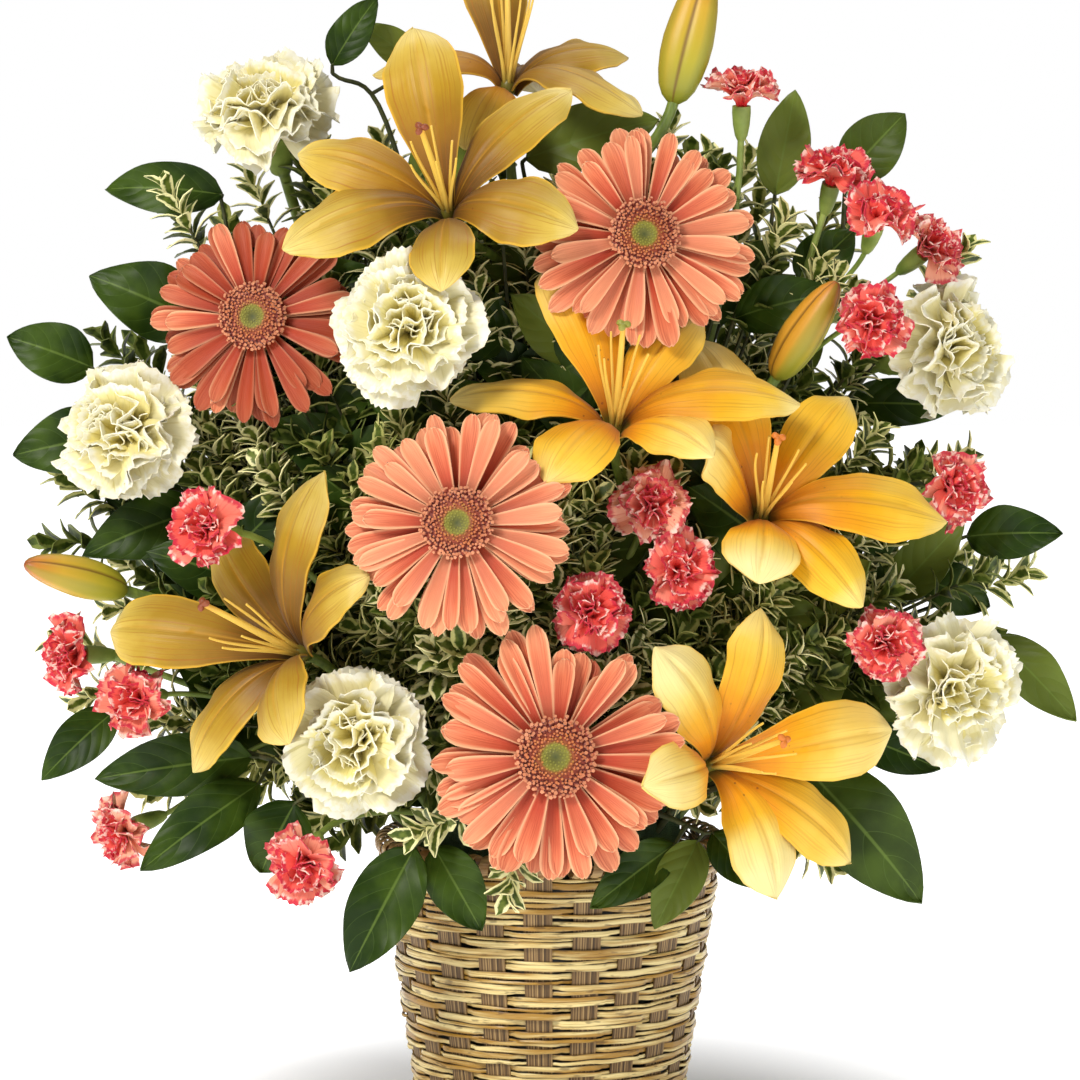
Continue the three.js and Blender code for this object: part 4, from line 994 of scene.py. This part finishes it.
# ---- Spray carnations ----
# Small coral heads with crimson rims, several on a thin branched stem. The petals are the large
# carnation's in small, and the calyx is a pale green tube.
MINIS = {  # each head: place, yaw, pitch
    "top": {"root": (14, 10, 134), "fork": None, "heads": [((94, -16, 506), 0, 80)]},
    "upper_right": {"root": (28, 2, 134), "fork": (112, 2, 380),
                    "heads": [((138, -16, 468), 20, 62), ((158, -36, 448), 20, 50),
                              ((184, 4, 434), 50, 34), ((152, -54, 403), 18, 8)]},
    "right": {"root": (52, 8, 136), "fork": None, "heads": [((192, -28, 318), 42, 12)]},
    "low_right": {"root": (42, -24, 136), "fork": None, "heads": [((160, -70, 248), 8, 2)]},
    "centre": {"root": (12, -32, 136), "fork": (26, -46, 250),
               "heads": [((48, -76, 313), 5, 16), ((60, -80, 284), 12, 4), ((18, -112, 266), 8, 16)]},
    "left": {"root": (-30, -24, 136), "fork": None, "heads": [((-158, -98, 306), -38, 10)]},
    "low_left": {"root": (-56, -12, 136), "fork": (-128, -28, 200),
                 "heads": [((-228, -32, 238), -62, 4), ((-196, -66, 221), -32, 0),
                           ((-203, -42, 155), -58, -14)]},
    "front_left": {"root": (-40, -31, 150), "fork": None, "heads": [((-116, -86, 148), -18, -28)]},
}
MINI_WHORLS = [(5, 25, 23, 86, 0), (5, 23.5, 21, 68, 0.5), (4, 21.5, 18, 51, 1), (4, 19.5, 15, 35, 1.5),
               (3, 18, 12, 20, 1.5), (2, 17, 10, 6, 1.5)]
PALE_HEADS = {("centre", 0), ("upper_right", 2), ("low_left", 2)}
MINI = {"columns": 12, "ripple": 2.6, "tooth": 0.7, "wall": 0.45, "room": 20, "stem": 1.7, "neck": 12,
        "fork_gap": 14}
mini_draw = random.Random(31)
mini_sheet = flat_sheet(MINI["columns"], 6)


def catmull(points, steps=8):
    """A smooth route through points."""
    points = [np.array(p, float) for p in points]
    points = [2 * points[0] - points[1]] + points + [2 * points[-1] - points[-2]]
    t = np.linspace(0, 1, steps, endpoint=False)[:, None]
    spans = [0.5 * (2 * b + (c - a) * t + (2 * a - 5 * b + 4 * c - d) * t ** 2
                    + (3 * b - a - 3 * c + d) * t ** 3)
             for a, b, c, d in zip(points, points[1:], points[2:], points[3:])]
    return np.vstack(spans + [points[-2]])


def nearest(routes, place):
    spots = np.vstack(routes)
    return spots[np.argmin(np.linalg.norm(spots - np.array(place), axis=1))]


for name, spray in MINIS.items():
    heads, greens, runs = [], [], []
    for i, (place, yaw, pitch) in enumerate(spray["heads"]):
        axis = facing(yaw, pitch)
        frame_here = frame_of(place, axis, i)
        deep = 0.0 if (name, i) in PALE_HEADS else mini_draw.uniform(0.2, 0.5)
        head = frilled_head(mini_sheet, MINI["columns"], mini_draw, MINI_WHORLS, MINI["ripple"],
                            MINI["tooth"], deep)
        head.data.transform(frame_here)
        heads.append(head)
        calyx = turned([(0, 1.5), (4.6, 1.5), (4.7, -2), (4.2, -8), (3.2, -13), (2, -15.5), (0, -15.5)], 14)
        calyx.data.transform(frame_here)
        greens.append(calyx)
        neck = Vector(place) - axis * MINI["neck"]
        if i == 0 and spray["fork"]:
            main = catmull([spray["root"], spray["fork"], neck], 12)
            runs.append((main, MINI["stem"], MINI["stem"]))
        elif i == 0:
            runs.append((stem_route(spray["root"], neck, axis), MINI["stem"], MINI["stem"]))
        else:
            start = nearest([main], Vector(spray["fork"]) - Vector((0, 0, MINI["fork_gap"] * (i - 1))))
            runs.append((stem_route(start, neck, axis), 1.4, 1.3))
        in_front.append(("disc", Vector(place), axis, MINI["room"]))
    petals = joined(f"mini_{name}_petals", heads)
    handed_in(petals, coral_frill, "pink", f"mini_{name}", wall=MINI["wall"])
    green = joined(f"mini_{name}_green", [tubes("stem", runs, 8)] + greens)
    handed_in(green, calyx_green, "stem", f"mini_{name}")

# ---- Broad leaves ----
# Dark leathery leaves with a pointed tip, a pale rib and side veins, on woody twigs that fork from
# a foot in the foam. They frame the arrangement and close its back.
BROAD = {  # each leaf: foot, tip, width
    "front_left": {"root": (-24, -50, 142), "fork": (-38, -66, 172),
                   "twigs": [[(-48, -76, 168), (-62, -90, 156)]],
                   "leaves": [[(-65, -92, 152), (-96, -100, 93), 34],
                              [(-56, -91, 152), (-33, -96, 112), 27]]},
    "front_right": {"root": (24, -50, 142), "fork": (36, -66, 172),
                    "twigs": [[(52, -76, 166), (74, -86, 158)]],
                    "leaves": [[(71, -86, 154), (50, -100, 114), 24], [(60, -88, 153), (19, -101, 124), 23],
                               [(78, -86, 158), (101, -92, 132), 22]]},
    "low_right": {"root": (46, -32, 142), "fork": (66, -42, 170),
                  "twigs": [[(84, -44, 174), (122, -50, 188)], [(90, -34, 178), (146, -26, 200)]],
                  "leaves": [[(124, -50, 186), (183, -60, 119), 44], [(150, -27, 198), (193, -32, 181), 24],
                             [(128, -34, 190), (146, -40, 156), 24]]},
    "right": {"root": (54, 12, 138), "fork": (72, 20, 178),
              "twigs": [[(120, 14, 215), (172, 6, 262), (204, 2, 292)], [(140, 22, 205), (222, 12, 240)]],
              "leaves": [[(172, 2, 264), (206, -14, 304), 26], [(208, -2, 294), (254, -14, 297), 27],
                         [(186, 8, 272), (222, 8, 258), 26], [(224, 12, 242), (264, 2, 200), 26],
                         [(150, 18, 238), (166, 22, 280), 28]]},
    "upper_right": {"root": (30, 32, 138), "fork": (42, 40, 190),
                    "twigs": [[(70, 34, 300), (104, 18, 410), (112, 10, 462)],
                              [(110, 56, 320), (144, 46, 420), (148, 16, 470)]],
                    "leaves": [[(126, 12, 420), (150, 4, 446), 28], [(112, 8, 464), (122, 8, 516), 26],
                               [(92, 6, 412), (113, 4, 442), 28], [(148, 14, 473), (177, 12, 504), 30],
                               [(152, 44, 358), (206, 38, 356), 26]]},
    "top": {"root": (0, 36, 138), "fork": (-6, 42, 190),
            "twigs": [[(-2, 36, 320), (-8, 24, 440), (-14, 14, 480)],
                      [(-46, 34, 360), (-82, 22, 500), (-108, 6, 524)]],
            "leaves": [[(-12, 12, 482), (54, 20, 500), 34], [(-66, 24, 528), (-94, 14, 549), 18],
                       [(-108, 4, 528), (-86, 6, 561), 20], [(-70, 30, 470), (-28, 34, 500), 30]]},
    "left": {"root": (-26, 30, 138), "fork": (-46, 38, 186),
             "twigs": [[(-100, 30, 290), (-150, 16, 400), (-164, 8, 462)],
                       [(-130, 28, 270), (-200, 10, 336), (-228, 4, 374)]],
             "leaves": [[(-163, 6, 464), (-222, 6, 468), 27], [(-172, 12, 398), (-230, 10, 424), 38],
                        [(-228, 2, 378), (-270, -2, 394), 30], [(-214, 6, 344), (-268, 2, 334), 34],
                        [(-176, 6, 306), (-230, -18, 288), 32]]},
    "low_left": {"root": (-56, -30, 144), "fork": (-82, -48, 172),
                 "twigs": [[(-110, -46, 182), (-142, -50, 190), (-214, -32, 212)],
                           [(-100, -62, 172), (-118, -72, 174)]],
                 "leaves": [[(-146, -52, 190), (-222, -60, 180), 31],
                            [(-142, -60, 178), (-198, -84, 139), 28],
                            [(-215, -30, 210), (-250, -44, 178), 24],
                            [(-124, -72, 170), (-142, -65, 134), 34]]},
    "back_right": {"root": (20, 48, 140), "fork": (32, 64, 186), "face": (0.5, 1, 0.35),
                   "twigs": [[(80, 62, 240), (110, 76, 360)], [(30, 84, 260), (34, 92, 420)],
                             [(110, 60, 190), (172, 70, 230)]],
                   "leaves": [[(112, 78, 362), (136, 84, 420), 34], [(96, 72, 300), (150, 80, 322), 34],
                              [(34, 92, 422), (50, 84, 484), 34], [(32, 92, 340), (82, 104, 366), 34],
                              [(30, 86, 270), (-14, 104, 300), 32], [(174, 70, 230), (222, 66, 214), 32],
                              [(130, 64, 204), (140, 92, 156), 32]]},
    "back_left": {"root": (-20, 48, 140), "fork": (-32, 64, 186), "face": (-0.5, 1, 0.35),
                  "twigs": [[(-84, 62, 240), (-116, 72, 380)], [(-36, 86, 280), (-44, 84, 450)],
                            [(-110, 60, 190), (-168, 64, 250)]],
                  "leaves": [[(-117, 72, 382), (-140, 74, 440), 34], [(-104, 72, 310), (-158, 74, 334), 34],
                             [(-44, 84, 452), (-56, 70, 512), 32], [(-42, 90, 360), (-90, 98, 384), 34],
                             [(-36, 80, 250), (8, 104, 236), 32], [(-170, 64, 250), (-216, 60, 244), 32],
                             [(-126, 64, 208), (-140, 92, 162), 32]]},
}
LEAF_WALL = 0.7
SHADED_SIDE = -100  # leaves left of this are darker
leaf_draw = random.Random(43)
leaf_sheet = flat_sheet(10, 16)


def broad_leaf(flat, foot, tip, width, face, draw):
    """A pointed leaf, folded a little along its rib, arched over its length and waved at its edge."""
    foot, tip = Vector(foot), Vector(tip)
    along_way = tip - foot
    length = along_way.length
    across_way = along_way.cross(face).normalized()
    up_way = across_way.cross(along_way).normalized()
    phase, wave = draw.uniform(0, math.tau), draw.uniform(0.04, 0.11) * width
    curl = draw.uniform(-0.08, 0.18)

    def shape(across, along):
        outline = np.clip(along, 0, 1) ** 0.6 * np.clip(1 - along, 0, 1) ** 0.85 / 0.374
        half = np.maximum(width / 2 * outline, 0.6 * (1 - along))
        edge = np.abs(across)
        rise = (length * 0.4 * along * (1 - along) + half * edge * 0.22
                - 0.5 * np.exp(-(across / 0.12) ** 2) * (1 - along)
                + wave * edge ** 2 * np.sin(10 * along + phase + 1.5 * (across > 0))
                - curl * length * along ** 3)
        points = (np.array(foot) + along[:, None] * np.array(along_way)
                  + (half * across)[:, None] * np.array(across_way) + rise[:, None] * np.array(up_way))
        return points[:, 0], points[:, 1], points[:, 2]

    return shaped(flat, shape, tone=draw.random() * (0.5 if foot.x < SHADED_SIDE else 1))


leathery, tree, shader = new_finish("leathery_leaf", 0.42, Specular_IOR_Level=0.16)
uv, along, off = sheet_places(tree)
blotch = cloud(tree, 38.0, 5.0)
base = mixed(tree, between(tree, blotch, 0.35, 0.7), colour(30, 50, 8), colour(62, 84, 20))
base = washed(tree, base, colour(120, 134, 52), value_of(tree), 0.5, 1.0, 0.75)
slant = maths(tree, "MULTIPLY_ADD", maths(tree, "POWER", off, 1.4), -0.3, along)
veined = maths(tree, "ABSOLUTE", maths(tree, "SINE", maths(tree, "MULTIPLY", slant, 19.0)))
base = washed(tree, base, colour(98, 124, 56), veined, 0.1, 0.0, 0.28)
base = washed(tree, base, colour(112, 136, 60), off, 0.06, 0.015, 0.5)
painted(tree, shader, base)
raised(tree, shader, maths(tree, "ADD", veined, maths(tree, "MULTIPLY", blotch, 0.6)), 0.25, 0.001)

woody, tree, shader = new_finish("woody_twig", 0.7)
bark = cloud(tree, 160.0, 5.0)
painted(tree, shader, gradient(tree, bark, [(0.3, 46, 44, 20), (0.55, 66, 74, 32), (0.75, 98, 88, 50)]))
raised(tree, shader, bark, 0.5, 0.0008)


def leaves_made(name, leaves, runs, *nodes, sides=6):
    """Finishes the blades of broad leaves, and the twigs that bear them."""
    blades = joined(f"{name}_blades", leaves)
    blades.data.transform(TO_METRES)
    handed_in(blades, leathery, "leaf", *nodes, wall=LEAF_WALL)
    handed_in(tubes(f"{name}_twigs", runs, sides), woody, "leaf", *nodes, smooth_to=60)


for name, greens in BROAD.items():
    root, fork = Vector(greens["root"]), Vector(greens["fork"])
    face = Vector(greens.get("face", (0, -1, 0.25))).normalized()
    start = root.lerp(fork, 0.94)
    routes = [catmull([start] + path) for path in greens["twigs"]]
    runs = [(np.array([root, fork]), 2.3, 2.1)] + [(route, 1.9, 1.1) for route in routes]
    leaves = []
    for foot, tip, width in greens["leaves"]:
        runs.append((catmull([nearest(routes, foot), foot], 3), 1.1, 0.9))
        runs.append((np.array([foot, np.array(foot) * 0.96 + np.array(tip) * 0.04]), 0.9, 0.7))
        leaves.append(broad_leaf(leaf_sheet, foot, tip, width, face, leaf_draw))
        in_front.append(("leaf", Vector(foot), Vector(tip), width * 0.3))
    leaves_made(f"leaves_{name}", leaves, runs, f"leaves_{name}")

# ---- Small-leaved sprigs ----
# Branches of a shrub with small oval leaves, grey-green with a cream margin, in whorls at the ends
# of thin twigs. They stand in the foam, fill the whole inside, and close the sides and the back.
SPRAYS = {
    "left": {"root": (-24, -15, 136), "fork": (-36, -16, 184), "ends": [
        [(-80, -10, 270), (-120, -14, 340)], [(-50, -10, 270), (-62, -24, 330)],
        [(-110, -22, 250), (-158, -20, 310)], [(-75, -30, 230), (-98, -36, 292)],
        [(-84, -16, 340), (-106, -8, 450)]]},
    "right": {"root": (14, 24, 138), "fork": (24, 26, 186), "ends": [
        [(40, 19, 250), (48, -4, 310)], [(56, 19, 220), (90, -18, 280)], [(90, 20, 260), (148, -4, 330)],
        [(110, 74, 300), (196, 24, 420)], [(110, 54, 220), (220, 8, 268)]]},
    "front": {"root": (-6, -54, 146), "fork": (-10, -70, 172), "ends": [
        [(-30, -82, 170), (-48, -98, 166)], [(-12, -86, 166), (-16, -100, 150)]]},
}
DOME = {"middle": Vector((0, 0, 338)), "side": 238, "tall": 210, "front": 92, "back": 84}
OUTLINE = {"left": -262, "right": 212, "low_right": 252, "low": 285, "front": -140, "back": 112,
           "bottom": 128, "top": 520, "slope_left": 0.1, "slope_right": 0.3}
RIM_ROOM = {"height": 172, "radius": 92}
BRANCHES = {"front": 215, "back": 104, "inner": 96, "skirt": 17}
SPRIG = {"leaves": 15, "tall": 46, "sunk": 26, "room": 12}
SMALL_SPRIG = {"leaves": 9, "tall": 26}
CLEAR = {"ahead": 60, "level": 4}  # room ahead of a bloom, and how far behind it a leaf is hidden
sprig_draw = random.Random(67)
leaflet_sheet = flat_sheet(2, 4)


def leaflet(height, azimuth, opening, length, width):
    """One small oval leaf on the twig, hollow along its rib."""
    def shape(across, along):
        half = width / 2 * np.maximum(along ** 0.7 * np.clip(1 - along, 0, 1) ** 0.5 / 0.52, 0.06)
        out = length * along
        up = 0.22 * half * np.abs(across) + 0.1 * length * np.sin(math.pi * along)
        return half * across, out, up
    piece = shaped(leaflet_sheet, shape)
    piece.data.transform(Matrix.Translation((0, 0, height)) @ Matrix.Rotation(azimuth, 4, "Z")
                         @ Matrix.Rotation(math.pi / 2 - opening, 4, "X"))
    return piece


def sprig_model(count, tall):
    """The tip of a twig, with leaves that open less and less towards its end."""
    leaflets = []
    for k in range(count):
        share = k / (count - 1)
        leaflets.append(leaflet(tall * (0.25 + 0.75 * share ** 0.8), k * GOLDEN_TURN,
                                math.radians(78 - 46 * share), 20 - 5 * share, 10 - 1.5 * share))
    whorl = joined("sprig", leaflets)
    applied(whorl, "SOLIDIFY", thickness=0.5, offset=0)
    return whorl


sprig = sprig_model(SPRIG["leaves"], SPRIG["tall"])
small_sprig = sprig_model(SMALL_SPRIG["leaves"], SMALL_SPRIG["tall"])


def in_the_way(spot, margin):
    """Whether a leaf at a spot would stand in front of a bloom, or inside one."""
    for kind, *rest in in_front:
        if kind == "disc":
            middle, axis, radius = rest
            off = spot - middle
            depth = off.dot(axis)
            aside = (off - axis * depth).length
            if -margin < depth < CLEAR["ahead"] and aside < radius + margin:
                return True
            if off.y < CLEAR["level"] and math.hypot(off.x, off.z) < radius + margin * 0.6:
                return True
        else:
            foot, tip, half = rest
            along = tip - foot
            share = min(max((spot - foot).dot(along) / along.length_squared, 0), 1)
            off = spot - foot - along * share
            if off.length < half + margin:
                return True
            if kind == "leaf":
                continue
            flat = Vector((along.x, 0, along.z))
            share = min(max((spot - foot).dot(flat) / max(flat.length_squared, 1), 0), 1)
            off = spot - foot - along * share
            if off.y < CLEAR["level"] and math.hypot(off.x, off.z) < half + margin * 0.5:
                return True
    return False


def inside_outline(spot):
    """Whether a leaf at a spot stays within the outline of the arrangement, and clear of the basket."""
    right = OUTLINE["low_right" if spot.z < OUTLINE["low"] else "right"]
    top = OUTLINE["top"] - OUTLINE["slope_right" if spot.x > 0 else "slope_left"] * abs(spot.x)
    if spot.z < RIM_ROOM["height"] and math.hypot(spot.x, spot.y) < RIM_ROOM["radius"]:
        return False
    return (OUTLINE["left"] < spot.x < right and OUTLINE["front"] < spot.y < OUTLINE["back"]
            and OUTLINE["bottom"] < spot.z < top)


def sprig_at(model, spot, way, size, tone):
    piece = placed(model.data, tone=tone)
    turn = way.to_track_quat("Z", "Y").to_matrix().to_4x4()
    roll = Matrix.Rotation(sprig_draw.uniform(0, math.tau), 4, "Z")
    piece.data.transform(Matrix.Translation(spot) @ turn @ roll @ Matrix.Scale(size, 4))
    return piece


def hung(model, tall, start, way, sprigs):
    """Puts a sprig at a start, if nothing of it stands before a bloom, and tells whether it did."""
    for share in (0.2, 0.65, 1.1):
        probe = start + way * tall * share
        if not inside_outline(probe) or in_the_way(probe, SPRIG["room"]):
            return False
    size = sprig_draw.uniform(0.85, 1.1)
    sprigs.append(sprig_at(model, start, way, size, min(max(sprig_draw.gauss(0.56, 0.3), 0), 1)))
    return True


def leafy_branch(points, sprigs, runs):
    """Hangs sprigs along a branch at turns of the golden angle, alternately large and small."""
    for k, share in enumerate((0.86, 0.72, 0.58, 0.44)):
        index = max(int(share * (len(points) - 1)), 1)
        here, ahead = points[index], (points[index] - points[index - 1]).normalized()
        outward = Vector((here.x, here.y * 1.4, (here.z - 190) * 0.6)).normalized()
        aside = ahead.orthogonal().normalized()
        aside.rotate(Matrix.Rotation(k * GOLDEN_TURN + sprig_draw.uniform(-0.5, 0.5), 3, ahead))
        way = (ahead * 0.7 + aside * 0.8 + outward * 0.6).normalized()
        model, tall = ((sprig, SPRIG["tall"]), (small_sprig, SMALL_SPRIG["tall"]))[k % 2]
        if hung(model, tall, here + way * sprig_draw.uniform(2, 10), way, sprigs):
            runs.append((np.array([here, here + way * tall]), 0.9, 0.5))


def ended(points, sprigs):
    """Ends a branch in its outermost place that has room for a sprig."""
    for last in range(len(points) - 1, len(points) // 3, -1):
        way = (points[last] - points[last - 1]).normalized()
        if hung(sprig, SPRIG["tall"], points[last] - way * SPRIG["sunk"], way, sprigs):
            return points[:last + 1]
    return None


variegated, tree, shader = new_finish("variegated_leaf", 0.45, Specular_IOR_Level=0.2)
uv, along, off = sheet_places(tree)
mottled = cloud(tree, 240.0, 4.0)
margin = between(tree, maths(tree, "ADD", off, maths(tree, "MULTIPLY_ADD", mottled, 1.1, -0.55)), 0.4, 0.7)
green = mixed(tree, between(tree, mottled, 0.35, 0.65), colour(64, 82, 22), colour(108, 122, 46))
paler = between(tree, value_of(tree), 0.4, 0.8)
cream_edge = mixed(tree, paler, colour(206, 204, 112), colour(250, 244, 182))
pale = mixed(tree, margin, green, cream_edge)
dark = mixed(tree, between(tree, mottled, 0.3, 0.7), colour(38, 52, 10), colour(76, 94, 28))
dark = mixed(tree, maths(tree, "MULTIPLY", margin, 0.45), dark, colour(150, 158, 80))
painted(tree, shader, mixed(tree, between(tree, value_of(tree), 0.4, 0.58), dark, pale))
raised(tree, shader, mottled, 0.3, 0.0005)


def sprigs_made(name, sprigs, runs, *nodes):
    """Finishes the small leaves of a branch or group of branches, and their twigs."""
    leaves = joined(f"{name}_leaves", sprigs)
    leaves.data.transform(TO_METRES)
    handed_in(leaves, variegated, "variegated", *nodes, smooth_to=60)
    handed_in(tubes(f"{name}_twigs", runs, 5), woody, "variegated", *nodes, smooth_to=60)


for name, spray in SPRAYS.items():
    root, fork = Vector(spray["root"]), Vector(spray["fork"])
    start = root.lerp(fork, 0.94)
    sprigs, runs = [], [(np.array([root, fork]), 2.3, 2)]
    for path in spray["ends"]:
        points = [Vector(point) for point in catmull([start] + path, 10)]
        runs.append((np.array(points), 1.8, 1.0))
        leafy_branch(points, sprigs, runs)
        ahead = (points[-1] - points[-2]).normalized()
        sprigs.append(sprig_at(sprig, points[-1] - ahead * SPRIG["sunk"], ahead, 1, 0.6))
    if name == "front":
        for piece in sprigs:
            valued(piece, tone=0.95)
    sprigs_made(f"spray_{name}", sprigs, runs, f"spray_{name}")


def dome_spot(index, count, depth):
    """A spot on the dome that the arrangement fills, spread evenly as it is seen from the front."""
    share, turn = math.sqrt((index + 0.5) / count), index * GOLDEN_TURN
    across, up = math.cos(turn), math.sin(turn)
    square = (across ** 4 + up ** 4) ** -0.25
    across, up = across * share * square ** 0.6, up * share * square ** 0.6
    narrow = 1 - 0.2 * max(up, 0) ** 2
    forward = depth * math.sqrt(max(0.04, 1 - share ** 2))
    return DOME["middle"] + Vector((DOME["side"] * narrow * across, forward, DOME["tall"] * up))


def branch_to(index, count, depth):
    """A branch from the foam to a spot of the dome, as far out as the blooms before it let it stand."""
    for share in (1.0, 0.75, 0.5, 0.25, 0.0, -0.3):
        end = dome_spot(index, count, depth * share)
        root = Vector((end.x * 0.2, min(max(end.y * 0.45, -50), 50), 168))
        bow = Vector((0, 0, 26)) if end.z < 200 else Vector((0, end.y * 0.12, 12))
        points = [Vector(point) for point in catmull([root, root.lerp(end, 0.45) + bow, end], 10)]
        if not any(in_the_way(point, 4) for point in points[4:]):
            return points
    return None


groups = {f"fill_{side}": [] for side in ("left", "middle", "right", "back_left", "back_right")}
for index in range(BRANCHES["front"]):
    points = branch_to(index, BRANCHES["front"], -DOME["front"] * sprig_draw.uniform(0.7, 1))
    if points:
        name = "left" if points[-1].x < -70 else "right" if points[-1].x > 54 else "middle"
        groups["fill_" + name].append(points)
for index in range(BRANCHES["back"]):
    points = branch_to(index, BRANCHES["back"], DOME["back"] * sprig_draw.uniform(0.7, 1))
    if points:
        groups["fill_back_left" if points[-1].x < 0 else "fill_back_right"].append(points)
for index in range(BRANCHES["skirt"]):  # low branches that hang over the rim, at the sides and the back
    turn = math.radians(-18 + 216 * index / (BRANCHES["skirt"] - 1))
    out = Vector((math.cos(turn), math.sin(turn) * 0.84, 0))
    bends = ((38, 160), (72, 182), (116, sprig_draw.uniform(146, 172)))
    points = catmull([out * reach + Vector((0, 0, height)) for reach, height in bends], 8)
    groups["fill_back_left" if out.x < 0 else "fill_back_right"].append([Vector(point) for point in points])
for name, branches in groups.items():
    sprigs, runs = [], []
    for points in branches:
        points = ended(points, sprigs)
        if points:
            runs.append((np.array(points), 1.6, 0.8))
            leafy_branch(points, sprigs, runs)
    sprigs_made(name, sprigs, runs)
for piece in (sprig, small_sprig):
    bpy.data.objects.remove(piece)

# ---- Inner leaves ----
# Broad dark leaves deep in the arrangement, on the same woody twigs, so that no gap shows through.
INNER = {"depth": 44, "room": 6, "used": 19}
inner_sheet = flat_sheet(6, 8)
inner, stalks = [], []
for index in range(BRANCHES["inner"]):
    side = 1 if index % 3 == 0 else -1
    points = branch_to(index, BRANCHES["inner"], side * INNER["depth"])
    if not points:
        continue
    points = points[:INNER["used"]]
    stalks.append((np.array(points), 1.8, 1.1))
    for k, at in enumerate(range(5, INNER["used"], 2)):
        foot, turn = points[at], (k % 2) * math.pi + leaf_draw.uniform(-0.6, 0.6)
        way = Vector((math.cos(turn) * 0.9, side * 0.25, 0.55 + leaf_draw.uniform(-0.5, 0.3))).normalized()
        tip = foot + way * leaf_draw.uniform(44, 60)
        probes = [foot.lerp(tip, share) for share in (0.3, 0.65, 1.0)]
        if any(in_the_way(probe, INNER["room"]) or not inside_outline(probe) for probe in probes):
            continue
        face = Vector((leaf_draw.uniform(-0.3, 0.3), side, 0.3)).normalized()
        inner.append(broad_leaf(inner_sheet, foot, tip, leaf_draw.uniform(28, 38), face, leaf_draw))
leaves_made("inner_leaves", inner, stalks, sides=5)
